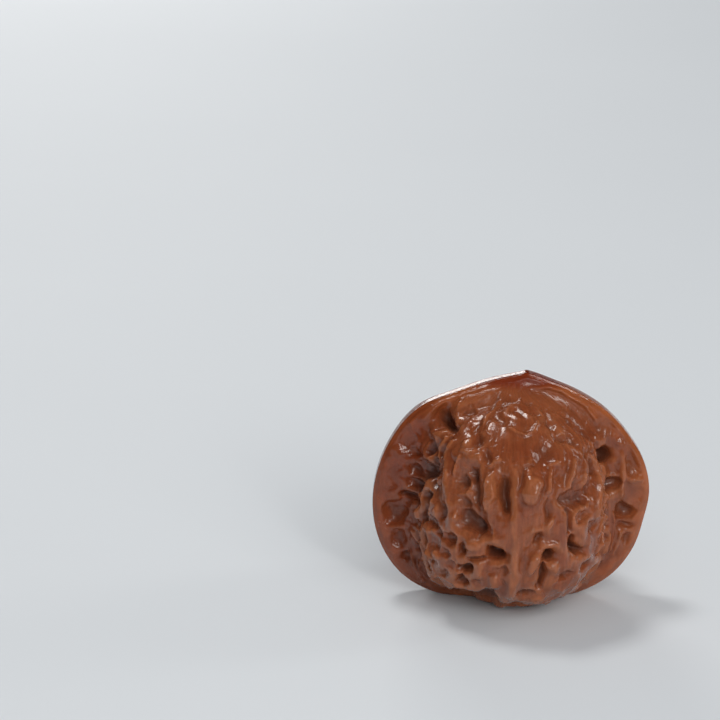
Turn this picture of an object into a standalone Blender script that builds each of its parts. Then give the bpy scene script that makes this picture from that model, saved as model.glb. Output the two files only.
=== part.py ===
# Wenwan walnut, one grown piece.
from collections import namedtuple

import bpy
import bmesh
import numpy as np

MM = 0.001

# Flange outline in the seam plane, (x, z) in millimetres, clockwise from the tip.
FLANGE_OUTLINE = [
    (1.2, 38.9), (2.3, 39.15), (3.3, 38.9), (6.2, 37.8), (10.4, 36.0), (15.0, 33.1), (19.4, 28.3),
    (22.3, 22.9), (23.0, 18.6), (22.2, 13.8), (20.5, 8.4), (17.5, 4.2), (12.4, 0.9), (4.0, -0.2),
    (-5.0, 0.0), (-12.8, 0.7), (-17.9, 3.7), (-21.4, 8.7), (-23.0, 15.6), (-22.4, 21.6),
    (-20.1, 27.5), (-16.1, 32.7), (-8.9, 36.0), (-3.0, 38.0),
]
FLANGE_CENTRE_Z = 19.0
FLANGE_EDGE_HALF = 1.35
FLANGE_FLARE = 0.16
FLANGE_FLARE_END = 14.0
FLANGE_ROUNDING = 0.6
FLANGE_FILLET = 2.5

# Belly: half width, half depth and height above and below its widest level.
BELLY_X = -0.2
BELLY_Z = 16.5
BELLY_HALF_X = 16.6
BELLY_HALF_Y = 19.0
BELLY_UP = 19.0
BELLY_DOWN = 16.5

# Relief.
PIT_JOINING = 4.0
PIT_GAP = 0.4
BOWL_EDGE = 0.15
HOLLOW_REACH = 0.35
SAG = 0.45
SAG_REACH = 1.4
DENT_REACH = 1.2
WARP = 0.5
WARP_SEEDS = (21, 22, 23)
HOLLOW_WARP = 0.25
LINE_WARP = 0.3
LINE_FADE = 0.2
SHIFT = 1.5
SHIFT_SEEDS = (31, 32, 33)
LUMP_RISE = 0.3
KNOB_RISE = 0.2
VEIN_RISE = 0.4
FIBRE_RISE = 0.08
DRAWN_CALM = 0.45
LOBE_TOP = 0.4
RIM_BARE = 0.5
RIM_FULL = 1.5
SCATTER_SEED = 7
SCATTER_TRIES = 2500

# Foot: the lowest part is worn flat.
FOOT_CUT = 0.3

FACE_SIZE = 1.1
RELAX_ROUNDS = 6
RELIEF_EASE = 0.35
SHELL_COLOUR = (0.2, 0.065, 0.03, 1.0)
SHELL_ROUGHNESS = 0.3

# Broad soft dents of the front, drawn as seen from the front: depth, width of the wall, outline (x, z).
FRONT_DENTS = [
    (1.05, 1.3, [(-9.9, 27.6), (-8, 28), (-6, 27.8), (-5.6, 25), (-5.6, 22.5), (-4.6, 20.5), (-4.2, 17.3),
        (-6.5, 16.6), (-9, 17.2), (-9.8, 20), (-10.1, 24)]),
    (0.9, 1.3, [(5, 27.4), (8.4, 27), (8.6, 24), (12.4, 23.2), (12.4, 20.2), (9.6, 20), (8, 20.8),
        (7.8, 22), (5.6, 23.2)]),
    (0.6, 1.6, [(-12.2, 28), (-14, 29.5), (-15.6, 26.5), (-16.6, 23), (-16.8, 19.5), (-15.2, 16),
        (-12.4, 15), (-11.9, 20)]),
    (0.7, 1.85, [(-2.6, 27.5), (-1.2, 27.1), (-0.9, 25.1), (-0.9, 22.6), (-1.2, 20.8), (-2.1, 20.6),
        (-3, 21.9), (-3.6, 23.5), (-3.7, 25.3), (-3.3, 26.7)]),
    (0.7, 1.64, [(-5.3, 13.1), (-4.8, 15.4), (-3, 15), (-1.3, 13.8), (-1.2, 12.6), (-3, 12),
        (-4.8, 12.2)]),
    (0.7, 1.4, [(4.3, 12.6), (4.3, 14.7), (5.6, 14.9), (6.8, 14.2), (7.4, 13), (6.4, 12), (5.2, 12)]),
    (0.6, 1.01, [(1.5, 15.2), (1.1, 13), (1.2, 11.3), (1.8, 11.6), (2.2, 13.2), (2.9, 14.8)]),
    (0.45, 2.04, [(7.8, 17), (7.7, 14), (8.6, 11.8), (10.2, 11.5), (12, 12.6), (11.9, 14), (10.6, 15.2),
        (9.6, 16.8)]),
    (0.8, 1.47, [(5.5, 24), (5.4, 26.4), (6.2, 27.1), (7.4, 26.9), (8.1, 25.5), (8, 24.1), (6.9, 23.6)]),
    (0.45, 1.27, [(-18.5, 26.4), (-17.9, 28.5), (-16.6, 29.5), (-15.7, 28.8), (-16.1, 27),
        (-17.4, 25.7)]),
    (0.4, 1.2, [(-20.6, 19.6), (-20.4, 23), (-19.4, 24.6), (-18.6, 23), (-18.8, 20)]),
    (0.5, 1.59, [(19, 22.2), (18.9, 24.4), (19.8, 25.6), (20.9, 24.9), (21.6, 23.2), (21.5, 21.9),
        (20.2, 21.4)]),
    (0.55, 1.63, [(19, 17.6), (18.9, 19.9), (19.8, 20.6), (21.4, 20.5), (22, 19.2), (21.8, 17.6),
        (20.6, 16.9)]),
    (0.5, 1.4, [(15.5, 31.7), (16.6, 32), (18, 29.9), (18.4, 28.3), (17.3, 27.5), (16.1, 28.6),
        (15.5, 30)]),
    (0.45, 2.46, [(4.9, 36.4), (7.8, 36.2), (9.8, 34.8), (11.7, 33.3), (13.2, 31.5), (14.3, 29.6),
        (13.4, 28.8), (11.6, 29.4), (9.4, 30.5), (7.4, 32.4), (5.8, 34), (4.7, 35.6)]),
    (0.75, 0.9, [(-2.3, 35.9), (-3.6, 35.5), (-5, 34.8), (-6.4, 34), (-7.4, 33.2), (-7, 32.6), (-5.4, 33),
        (-4.5, 33.9), (-3.4, 34.6), (-2.3, 35.3)]),
    (0.9, 1.2, [(-12.2, 31.4), (-11.8, 32.8), (-11, 33.6), (-10.2, 33), (-10, 31.8), (-10.8, 30.9)]),
    (0.5, 0.9, [(-8.2, 33), (-6.5, 33.6), (-5.2, 34), (-4.9, 33.4), (-6.5, 32.7), (-8, 32.3)]),
    (0.6, 1.4, [(8.3, 32.4), (9.6, 32.9), (11.5, 31.8), (13.2, 30.2), (13.8, 29), (12.6, 29.2),
        (10.6, 30.6), (9, 31.6)]),
    (0.95, 1.5, [(3.1, 28.3), (3, 30), (3.6, 31.3), (4.8, 31.5), (6, 30.4), (6.2, 29), (5.2, 28),
        (4, 27.9)]),
    (0.8, 1, [(1.5, 14.6), (2, 16.2), (3, 17.2), (4.2, 17.4), (5, 16.8), (6.2, 16.3), (5.2, 15.6),
        (4.2, 15.2), (3.2, 14.3), (2.2, 13.8)]),
]

# Hollows with a clear edge and a round bottom, drawn in the same way.
FRONT_HOLLOWS = [
    (1.15, 1, [(-2.4, 26.9), (-1.5, 26.7), (-1, 25.1), (-1, 22.6), (-1.3, 20.9), (-2.3, 21), (-2.8, 23.1),
        (-2.8, 25.1)]),
    (0.9, 1.6, [(-9.7, 19.8), (-9.2, 20.7), (-8.2, 20.95), (-7.1, 20.6), (-6.1, 19.7), (-5.4, 18.5),
        (-5.2, 17.4), (-6.1, 16.9), (-7.2, 17.2), (-8.7, 17.4), (-9.6, 18.2)]),
    (0.9, 0.6, [(-6.9, 20.1), (-6.1, 19.6), (-5.4, 18.4), (-5.3, 17.4), (-6.1, 17), (-6.8, 17.5),
        (-7, 18.6)]),
    (0.7, 0.5, [(-9.7, 19.8), (-9.1, 20.7), (-8, 20.8), (-8.1, 19.6), (-9.2, 19.2)]),
    (1.8, 1, [(-4.9, 14.3), (-4.6, 15.2), (-4, 15.25), (-3.2, 14.8), (-2.4, 14.5), (-2, 13.9), (-2, 13.1),
        (-3, 12.7), (-4, 12.9), (-4.8, 13.2)]),
    (1.7, 0.7, [(4.8, 12.7), (4.7, 13.6), (5.1, 14.2), (5.8, 14.1), (6.3, 13.5), (6.2, 12.6),
        (5.5, 12.3)]),
    (1.4, 0.5, [(4.4, 11.8), (4.7, 11.9), (4.95, 11), (5.05, 9.5), (4.8, 8.3), (4.3, 6.8), (3.7, 6.7),
        (3.7, 7.4), (4.1, 8.4), (4.4, 9.4), (4.45, 10.4)]),
    (1.9, 0.8, [(9.1, 16.1), (9.6, 15.7), (10, 14.7), (10.7, 13.8), (11.3, 13), (11.1, 12.4),
        (10.4, 12.1), (9.8, 12.9), (9.4, 13.9), (9, 14.9)]),
    (1, 0.6, [(8.2, 20.8), (8.8, 20.9), (9.2, 20.2), (9.2, 18.5), (9.3, 16.9), (8.5, 16.7), (8.3, 18.5)]),
    (0.8, 0.9, [(9.8, 19.2), (10.5, 20), (11.8, 19.7), (12.2, 19), (11.4, 18.2), (10.2, 18)]),
    (0.9, 1.7, [(6.8, 22.5), (7.6, 23.2), (8.6, 23.4), (10, 23.2), (11.2, 23), (12, 22.5), (12.3, 21.4),
        (11.8, 20.4), (10.4, 20.3), (9.3, 20.6), (8.2, 21.4), (7.2, 21.9)]),
    (0.7, 1.1, [(4.6, 21), (4.6, 22.6), (5.2, 23), (5.8, 22.6), (5.9, 21), (5.6, 19.7), (4.8, 19.4)]),
    (0.72, 0.8, [(9.1, 23.4), (9.2, 24.8), (9.9, 25.1), (10.7, 24.4), (10.8, 23.4), (10, 23.1)]),
    (0.32, 0.6, [(1.5, 26.4), (2.4, 27), (3.1, 26.7), (2.5, 26.1)]),
    (0.58, 0.74, [(11.8, 22), (12.1, 26.6), (12.8, 26.8), (13, 24), (12.6, 21.8)]),
    (0.58, 0.6, [(13.9, 18.2), (14.1, 21.9), (14.7, 21.8), (14.6, 19), (14.3, 17.6)]),
    (0.44, 0.6, [(10.5, 25.6), (10.9, 28.2), (11.6, 28.2), (11.4, 25.6)]),
    (0.65, 0.63, [(12, 16.1), (12.2, 17.4), (13, 17.7), (13.3, 16.6), (12.7, 15.6)]),
    (1.07, 0.74, [(10.7, 8.9), (11.1, 10.2), (12.3, 10.3), (12.5, 9.2), (11.5, 8.5)]),
    (0.89, 0.7, [(7.2, 8.2), (7.4, 9.3), (8.6, 9.6), (9.4, 9), (8.6, 8.2)]),
    (1.2, 0.7, [(0.3, 5.9), (0.5, 6.8), (1.5, 6.7), (2.8, 6.5), (3.2, 6), (2.2, 5.4), (1, 5.2)]),
    (0.5, 0.9, [(-0.6, 3.2), (0.1, 4.3), (0.8, 4), (1.5, 3.1), (2.3, 2.2), (0.9, 1), (-0.4, 1.5)]),
    (0.62, 0.6, [(-2.3, 11.2), (-1.7, 11.7), (-1.2, 11), (-1.7, 10.2)]),
    (0.54, 0.6, [(-4.2, 10.6), (-3.4, 11.5), (-2.5, 11.1), (-2.8, 10)]),
    (0.5, 0.9, [(-7.3, 8.2), (-6.4, 9), (-5.3, 8.6), (-5.4, 7.6), (-6.6, 7.4)]),
    (0.75, 1, [(-7.8, 26.9), (-7.3, 27.6), (-6.4, 27.3), (-6.1, 26.3), (-6.2, 25.2), (-7, 24.8),
        (-7.6, 25.6)]),
    (0.6, 0.9, [(-7.2, 25.4), (-6.3, 25.2), (-6.1, 23.5), (-6.3, 21.9), (-7, 22.1), (-7.3, 23.8)]),
    (0.65, 1, [(-9.7, 25), (-9.3, 26.1), (-8.5, 26.3), (-7.9, 25.5), (-8, 24.5), (-8.9, 24.2)]),
    (0.6, 0.8, [(-9.4, 22.3), (-8.5, 22.6), (-7.9, 21.8), (-8.3, 21), (-9.2, 21)]),
    (0.8, 1, [(-5.7, 28.5), (-5.4, 29.7), (-4.7, 30.1), (-3.9, 29.5), (-3.9, 28.5), (-4.8, 28.1)]),
    (0.9, 1, [(-7, 30.9), (-6.8, 31.9), (-6.1, 32.2), (-5.4, 31.6), (-5.5, 30.7), (-6.3, 30.4)]),
    (1.5, 0.7, [(-9.6, 7.2), (-9.4, 8.6), (-8.7, 9), (-8, 8.5), (-7.8, 7.2), (-8.5, 6.6)]),
    (1.5, 0.6, [(-9.5, 9.9), (-9.2, 10.7), (-8.4, 10.8), (-7.8, 11.2), (-7, 11.1), (-7.1, 10.2),
        (-7.8, 9.8), (-8.6, 9.4)]),
    (0.5, 0.8, [(-11.1, 10.4), (-10.7, 11.3), (-10, 11.3), (-9.7, 10.5), (-10.3, 9.8)]),
    (0.5, 0.8, [(-12.2, 12.1), (-11.8, 13), (-11, 13.1), (-10.5, 12.4), (-11, 11.7)]),
    (1.01, 0.63, [(-9.3, 13.1), (-9.4, 14.5), (-8.8, 15), (-8.2, 14.3), (-8.3, 13.2)]),
    (0.8, 0.9, [(-11.7, 14.8), (-11.4, 15.9), (-10.6, 16.2), (-9.9, 15.5), (-10, 14.5), (-10.8, 14.2)]),
    (0.75, 1.2, [(-14.3, 13), (-14.2, 14.5), (-13.5, 15.2), (-12.7, 14.7), (-12.2, 13.4), (-12.4, 12.3),
        (-13.4, 12)]),
    (0.6, 0.7, [(-13.2, 15.3), (-12.8, 16.1), (-12.1, 15.9), (-12.1, 15.1), (-12.7, 14.8)]),
    (0.7, 1, [(-15.2, 16.1), (-15.1, 17.3), (-14.2, 17.7), (-13.1, 17.3), (-12.9, 16.3), (-14, 15.7)]),
    (0.65, 1.2, [(-14.2, 20.6), (-14.3, 22.5), (-13.6, 23.4), (-12.6, 23.1), (-12.2, 21.6),
        (-12.6, 20.2)]),
    (0.87, 0.6, [(-12.4, 18.2), (-12.5, 20.4), (-12, 20.8), (-11.6, 20), (-11.7, 18.4)]),
    (0.4, 0.8, [(-13.1, 24.7), (-13, 27.1), (-12.4, 27.7), (-11.8, 26.6), (-11.9, 24.9)]),
    (0.5, 0.8, [(-14, 26.2), (-14, 28.5), (-13.3, 29.4), (-12.9, 28.2), (-13.2, 26.3), (-13.7, 25.4)]),
    (0.45, 0.7, [(-11.4, 26.2), (-11.1, 27.9), (-10.4, 28.9), (-10.1, 27.8), (-10.5, 26)]),
    (0.5, 0.7, [(-14.6, 10.5), (-14.3, 11.2), (-13.3, 10.4), (-12.7, 9.7), (-13.4, 9.3), (-14.2, 9.8)]),
    (0.6, 0.8, [(-12.2, 7.6), (-12, 8.8), (-11.2, 9.2), (-10.6, 8.4), (-11.2, 7.5)]),
    (1.5, 0.9, [(-16.2, 23.6), (-15.6, 25), (-14.8, 25.6), (-14, 25.1), (-14.1, 24.2), (-15, 23.3),
        (-15.8, 22.8)]),
    (1.08, 0.62, [(-16.9, 22), (-17, 23.3), (-16.2, 24), (-15.8, 23), (-16.1, 21.9)]),
    (1.08, 0.7, [(-17.2, 20), (-17.3, 21.2), (-16.6, 21.9), (-15.9, 21.3), (-16, 20)]),
    (1.2, 0.5, [(-18.3, 18.2), (-18, 18.8), (-17, 18.9), (-16.2, 18.5), (-16.3, 17.9), (-17.3, 17.8)]),
    (0.65, 0.6, [(-16.5, 14.2), (-16.4, 15.2), (-15.9, 15.4), (-15.7, 14.3), (-16.1, 13.7)]),
    (2.3, 0.7, [(14.8, 25.9), (14.9, 26.7), (15.5, 26.9), (16, 26.1), (16.3, 25.2), (16, 24.5),
        (15.4, 24.8)]),
    (0.7, 0.9, [(15.6, 24.5), (16.2, 24.8), (17, 23.3), (17.3, 22.4), (16.7, 21.8), (15.9, 23.1)]),
    (1.1, 0.8, [(15.8, 20.1), (16, 21.2), (16.8, 21.6), (17.7, 21.3), (18.2, 20.4), (17.7, 19.5),
        (16.6, 19.3)]),
    (1.43, 0.73, [(14, 10.4), (14.4, 11.4), (15.2, 11.8), (15.9, 11.3), (15.6, 10.4), (14.7, 10)]),
    (1, 2.1, [(-21.5, 15), (-21.2, 16.5), (-20.4, 17.3), (-19.2, 17.3), (-18.1, 17.2), (-17.4, 16.2),
        (-17.4, 14.4), (-18, 13.2), (-19.2, 12.7), (-20.5, 13), (-21.3, 13.9)]),
    (0.75, 1.7, [(-20.1, 10.2), (-19.9, 11.7), (-19, 12.3), (-17.9, 12), (-17.5, 10.4), (-17.9, 9),
        (-19.1, 8.8)]),
    (0.71, 0.71, [(-18.4, 7), (-18.1, 8), (-17.2, 8.2), (-16.5, 7.4), (-17.1, 6.5)]),
    (0.58, 0.6, [(-16.9, 25.1), (-17, 26.4), (-16, 26.7), (-15.6, 25.7)]),
    (1, 1.2, [(17.5, 14.7), (17.6, 16.5), (18.2, 17.1), (19.2, 16.6), (20.5, 16), (21, 15.2),
        (20.2, 14.4), (18.8, 14.1)]),
    (0.6, 0.4, [(17.8, 13.1), (18.2, 13.6), (19.1, 13.3), (20.2, 12.9), (20.1, 12.6), (18.9, 12.7)]),
    (0.54, 0.67, [(18.6, 10.2), (18.9, 11.6), (19.9, 11.4), (19.8, 10), (19, 9.3)]),
    (1.2, 0.9, [(-12, 31.6), (-11.6, 32.6), (-10.8, 33), (-10.4, 32.3), (-9.8, 31.9), (-10.8, 31.3)]),
    (1.8, 1, [(-10.5, 2.5), (-9.5, 5.4), (-8, 5.8), (-6, 5.4), (-4.7, 6.6), (-3.5, 6.5), (-2.9, 4.5),
        (-2.7, 2.4), (-2.9, 0.6), (-6, 0.4), (-9.5, 0.6)]),
    (0.6, 0.4, [(-21, 16), (-20.5, 17), (-18.6, 17.2), (-17.6, 17.8), (-16.9, 17.9), (-17.4, 16.7),
        (-19.5, 16.2)]),
    (0.5, 0.35, [(6.9, 22.4), (7.6, 23.2), (8.6, 23.4), (10, 23.3), (11.4, 22.9), (10, 22.4),
        (8.4, 22.5)]),
    (0.6, 0.5, [(2.9, 15.9), (3.5, 17), (4.1, 17.3), (4.4, 16.6), (3.8, 15.8)]),
    (0.5, 0.5, [(6, 31.9), (6.8, 31.5), (7.8, 30.9), (8.2, 30.6), (7.6, 30.4), (6.4, 31)]),
]

# Lobes of the front: x, z, half length, half width, lean from upright in degrees, rise.
FRONT_LOBES = [
    (-0.3, 9.2, 5.6, 1.6, 0, 0.5), (2.4, 24.7, 2.8, 1.9, 6, 1.5), (-4.3, 24.1, 3.2, 1.2, 4, 0.8),
    (-6, 35, 4.6, 1.6, 64, 1), (6.1, 11.2, 1.6, 1.2, 0, 0.45), (3, 12.3, 2.4, 0.9, 14, 0.7),
    (5.4, 18.9, 1.4, 0.8, 25, 0.5), (1.6, 34, 2, 2.5, 0, 0.3), (-6.8, 15.4, 1.7, 1.1, 80, 0.6),
    (11.2, 16.4, 1.4, 1.1, 0, 0.25), (-6.3, 10.6, 2, 1, 0, 0.5), (-3.4, 9.4, 2.6, 1.1, 4, 0.5),
    (-9.6, 19.6, 1.2, 0.7, 0, 0.5), (-10.6, 29.6, 1.4, 1, 50, 0.4), (3.6, 4.6, 1.6, 1.2, 80, 0.5),
    (-13.2, 18.9, 1.2, 0.9, 0, 0.4), (15, 22.6, 1.2, 0.7, 0, 0.5), (-12.6, 11.6, 1.2, 0.8, 120, 0.6),
    (8.6, 31.6, 1.3, 0.7, 100, 0.4), (-13.4, 32.6, 2.2, 1.1, 50, 0.35), (-7.8, 30.6, 1.2, 0.9, 90, 0.3),
    (17.4, 28, 2.2, 0.8, -28, 0.3), (-14.4, 27.2, 2, 0.6, 25, 0.5), (-11.3, 26, 4, 1.1, 4, 0.35),
]

# Raised lines and grooves of the front: half width, rise, then points (x, z).
FRONT_LINES = [
    (0.9, 0.5, [(0.2, 29.5), (-0.3, 26), (-0.4, 23), (-0.5, 20), (-0.2, 17), (-0.1, 13), (-0.3, 9),
        (-0.8, 6.5), (-1, 4.8)]),
    (0.35, 0.6, [(-2.9, 27.4), (-4.2, 26.5), (-5.1, 25), (-5.4, 23.2), (-5.2, 21.8), (-4.3, 20.9)]),
    (0.4, 0.6, [(-1.9, 35.6), (-3.4, 34.6), (-4.5, 34), (-5.2, 33.2), (-6.8, 32.4)]),
    (0.3, 0.35, [(-9, 29.5), (-7.6, 29.4), (-6, 29.9)]),
    (0.3, 0.3, [(-11.6, 30), (-10.9, 30.6), (-10, 31)]),
    (0.35, 0.4, [(-1.8, 33), (-0.8, 32.8), (0.1, 32.4), (1.3, 32.2), (2.7, 32.4), (3.7, 33.1),
        (4, 33.9)]),
    (0.28, 0.5, [(2.4, 37), (4, 36.8), (5.8, 36.7), (8, 36.1), (9.5, 35.2), (10.8, 34.3), (12, 33.4),
        (13.5, 31.6), (14.2, 29.8)]),
    (0.25, 0.3, [(-8.7, 36.2), (-8.4, 34.8), (-8.8, 33)]),
    (0.3, 0.4, [(-13.4, 33.5), (-15.2, 32.2), (-16.4, 30.8), (-17, 29)]),
    (0.45, 0.25, [(-3, 37.5), (-6, 36.6), (-10, 35), (-13.5, 33), (-16, 30.2), (-17.8, 26.8)]),
    (1, 0.35, [(-10, 31.5), (-10.9, 28), (-11.2, 24), (-11, 21), (-10.3, 18), (-9.8, 15.5)]),
    (0.6, 0.25, [(-17.9, 24), (-17.7, 21), (-17.4, 19.3)]),
    (0.6, 0.6, [(5.8, 27.9), (5.3, 25), (5.2, 23.4)]),
    (0.6, 0.8, [(9.4, 28.6), (8.9, 25), (8.7, 23.6)]),
    (0.55, 0.8, [(12.6, 28.4), (13.5, 25), (13.6, 22), (13.2, 19), (12.8, 15.5)]),
    (0.3, 0.8, [(15.2, 21.4), (15, 18.8), (14.4, 16.4), (13.4, 14)]),
    (0.35, 0.8, [(15.9, 18), (15.4, 15.5), (14.2, 12.5), (13.2, 10)]),
    (0.35, 0.7, [(18.2, 12.2), (17.7, 9.5), (16.5, 7)]),
    (0.35, 0.6, [(16.4, 12.2), (15.9, 10.2), (15.1, 8)]),
    (0.45, 0.4, [(-20.2, 12.3), (-18.4, 12.9)]),
    (0.4, 0.35, [(19, 20.9), (20.5, 21.1), (22, 20.7)]),
    (0.5, 0.45, [(18, 26.5), (18.3, 23.5), (18.2, 20), (17.6, 17.5)]),
    (0.35, 0.9, [(-16.6, 9.6), (-16, 7.4), (-15.6, 5.4), (-15, 4), (-13.8, 2.7)]),
    (0.3, 0.6, [(-15.2, 7), (-14.9, 5.2), (-14, 3.8)]),
    (0.35, 0.8, [(-14.8, 12), (-13.6, 11.2), (-12.9, 10.5)]),
    (0.35, 0.8, [(-12.5, 7.6), (-12, 5)]),
    (0.5, 0.3, [(1.4, 17.6), (4, 17.9), (5.8, 17.3)]),
    (0.35, 0.45, [(-9.9, 22.9), (-8.6, 23.2), (-6.9, 23.8)]),
    (0.5, 0.25, [(4.4, 27.8), (5.8, 27.9), (7, 28.2)]),
    (0.3, 0.35, [(0.6, 26.1), (0.7, 24.3), (1.4, 23), (2.2, 22.6)]),
    (0.35, 0.35, [(9.8, 20.4), (11.2, 20.3), (12.4, 20.7)]),
    (0.3, 0.6, [(16.8, 16), (17, 13.5), (16.6, 10.5), (15.6, 7.8)]),
    (0.35, -1.1, [(-4.9, 13.1), (-6.4, 12.8), (-8.1, 12.2)]),
    (0.75, -0.6, [(4.4, 35.8), (5.2, 34.2), (5.9, 32.7), (7, 31.4), (8.6, 30.5), (11, 29.9)]),
    (0.5, 0.6, [(11.3, 28), (11, 25.6), (11.4, 23.4)]),
    (0.35, 0.5, [(-4.6, 27.6), (-3.6, 28.6), (-2.2, 29)]),
    (0.35, 0.5, [(-8.6, 29), (-9.8, 27.4), (-10.2, 25.4)]),
    (0.2, -0.4, [(0.7, 29), (0.5, 26), (0.4, 24.2)]),
    (0.3, -0.4, [(0.5, 24), (0.6, 26.2), (1.4, 27.7), (3, 28), (4.3, 26.8), (4.6, 24.9), (4.2, 23.1),
        (3.2, 22)]),
]


def smooth_max(a, b, width):
    h = np.clip(0.5 + 0.5 * (a - b) / width, 0.0, 1.0)
    return b + (a - b) * h + width * h * (1.0 - h)


def smooth_min(a, b, width):
    return -smooth_max(-a, -b, width)


def smooth_step(value, low, high):
    t = np.clip((value - low) / (high - low), 0.0, 1.0)
    return t * t * (3.0 - 2.0 * t)


def outline_radius(x, z):
    """Distance of the flange outline from its centre, in the direction of (x, z)."""
    outline = np.array(FLANGE_OUTLINE)
    angle = np.arctan2(outline[:, 0], outline[:, 1] - FLANGE_CENTRE_Z)
    radius = np.hypot(outline[:, 0], outline[:, 1] - FLANGE_CENTRE_Z)
    order = np.argsort(angle)
    angle = angle[order]
    radius = radius[order]
    turn = 2.0 * np.pi
    angles = np.concatenate([angle - turn, angle, angle + turn])
    radii = np.concatenate([radius, radius, radius])
    slopes = np.gradient(radii, angles)
    wanted = np.arctan2(x, z - FLANGE_CENTRE_Z)
    i = np.clip(np.searchsorted(angles, wanted) - 1, 0, len(angles) - 2)
    span = angles[i + 1] - angles[i]
    t = (wanted - angles[i]) / span
    start = (2 * t**3 - 3 * t**2 + 1) * radii[i] + (t**3 - 2 * t**2 + t) * span * slopes[i]
    end = (-2 * t**3 + 3 * t**2) * radii[i + 1] + (t**3 - t**2) * span * slopes[i + 1]
    return start + end


def body_field(p):
    """Below zero inside the smooth nut, zero on its surface; millimetres."""
    x, y, z = p[..., 0], p[..., 1], p[..., 2]
    across = np.abs(x - BELLY_X) / BELLY_HALF_X
    deep = np.abs(y) / BELLY_HALF_Y
    rise = z - BELLY_Z
    tall = np.where(rise > 0, rise / BELLY_UP, -rise / BELLY_DOWN)
    level = (across**2.1 + deep**2.1) ** (1 / 2.1)
    power = np.where(rise > 0, 2.3, 2.5)
    belly = ((level**power + tall**power) ** (1 / power) - 1.0) * 17.5
    inset = outline_radius(x, z) - np.hypot(x, z - FLANGE_CENTRE_Z)
    half = FLANGE_EDGE_HALF + FLANGE_FLARE * np.clip(inset, 0.0, FLANGE_FLARE_END)
    flange = smooth_max(-inset, np.abs(y) - half, FLANGE_ROUNDING)
    return smooth_min(belly, flange, FLANGE_FILLET)


def field_slope(p):
    step = 0.02
    slope = np.zeros_like(p)
    for axis in range(3):
        move = np.zeros(3)
        move[axis] = step
        slope[..., axis] = (body_field(p + move) - body_field(p - move)) / (2 * step)
    return slope


def normals_at(p):
    slope = field_slope(p)
    return slope / np.maximum(np.linalg.norm(slope, axis=-1, keepdims=True), 1e-9)


def settle(p, rounds):
    """Points moved onto the smooth surface."""
    for _ in range(rounds):
        slope = field_slope(p)
        size = np.maximum((slope**2).sum(axis=-1, keepdims=True), 0.05)
        p = p - np.clip(body_field(p)[..., None] * slope / size, -1.5, 1.5)
    return p


def front_points(x, z):
    """Points of the smooth surface straight in front of (x, z) in the seam plane."""
    x, z = np.broadcast_arrays(np.asarray(x, dtype=float), np.asarray(z, dtype=float))
    near = np.full(x.shape, -25.0)
    far = np.zeros(x.shape)
    for _ in range(34):
        middle = 0.5 * (near + far)
        outside = body_field(np.stack([x, middle, z], axis=-1)) > 0
        near = np.where(outside, middle, near)
        far = np.where(outside, far, middle)
    return np.stack([x, far, z], axis=-1)


def lumps(p, size, seed):
    """Smooth noise, about -1 to 1, with lumps of the given size in millimetres."""
    table = np.random.RandomState(seed).uniform(-1.0, 1.0, 4096)
    cell = p / size + 64.0
    base = np.floor(cell).astype(np.int64)
    part = cell - base
    fade = part * part * part * (part * (part * 6.0 - 15.0) + 10.0)
    total = np.zeros(len(p))
    for i in (0, 1):
        for j in (0, 1):
            for k in (0, 1):
                key = (base[:, 0] + i) * 73856093
                key = key ^ ((base[:, 1] + j) * 19349663)
                key = key ^ ((base[:, 2] + k) * 83492791)
                share = np.where(i, fade[:, 0], 1 - fade[:, 0])
                share = share * np.where(j, fade[:, 1], 1 - fade[:, 1])
                share = share * np.where(k, fade[:, 2], 1 - fade[:, 2])
                total += share * table[(key >> 3) % 4096]
    return total


Mark = namedtuple("Mark", "centre normal along across half_length half_width height")


def make_mark(centre, normal, lean, half_length, half_width, height):
    """One oval on the surface; its long axis leans by an angle from upright."""
    angle = np.radians(lean)
    along = np.array([np.sin(angle), 0.0, np.cos(angle)])
    along = along - normal * along.dot(normal)
    along = along / max(np.linalg.norm(along), 1e-6)
    return Mark(centre, normal, along, np.cross(normal, along), half_length, half_width, height)


def front_marks(rows):
    marks = []
    for x, z, half_length, half_width, lean, height in rows:
        centre = front_points(x, z)
        marks.append(make_mark(centre, normals_at(centre), lean, half_length, half_width, height))
    return marks


def side_point(turn, z):
    """Point of the smooth surface seen from the upright axis in one direction."""
    base = np.array([BELLY_X, 0.0, z])
    ray = np.array([np.sin(turn), np.cos(turn), 0.0])
    near, far = 0.5, 26.0
    for _ in range(26):
        middle = 0.5 * (near + far)
        if body_field(base + middle * ray) < 0:
            near = middle
        else:
            far = middle
    return base + near * ray


def is_clear(mark, others):
    for other in others:
        offset = mark.centre - other.centre
        u = offset.dot(other.along) / (other.half_length + 0.7 * mark.half_length + PIT_GAP)
        v = offset.dot(other.across) / (other.half_width + 0.8 * mark.half_width + PIT_GAP)
        w = offset.dot(other.normal) / 4.0
        if u * u + v * v + w * w < 1.0:
            return False
    return True


def flange_mark(rng):
    turn = rng.uniform(-np.pi, np.pi)
    outer = outline_radius(np.sin(turn), np.cos(turn) + FLANGE_CENTRE_Z)
    radius = outer - rng.uniform(2.8, 6.5)
    centre = front_points(radius * np.sin(turn), FLANGE_CENTRE_Z + radius * np.cos(turn))
    if centre[1] < -3.6:
        return None
    centre[1] *= rng.choice([-1.0, 1.0])
    lean = np.degrees(turn) + rng.uniform(-20.0, 20.0)
    half_length = rng.uniform(1.0, 1.9)
    half_width = rng.uniform(0.8, 1.4)
    depth = 0.25 + rng.uniform(0.3, 0.9) * smooth_step(centre[2], 34.0, 24.0)
    return make_mark(centre, normals_at(centre), lean, half_length, half_width, depth)


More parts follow.
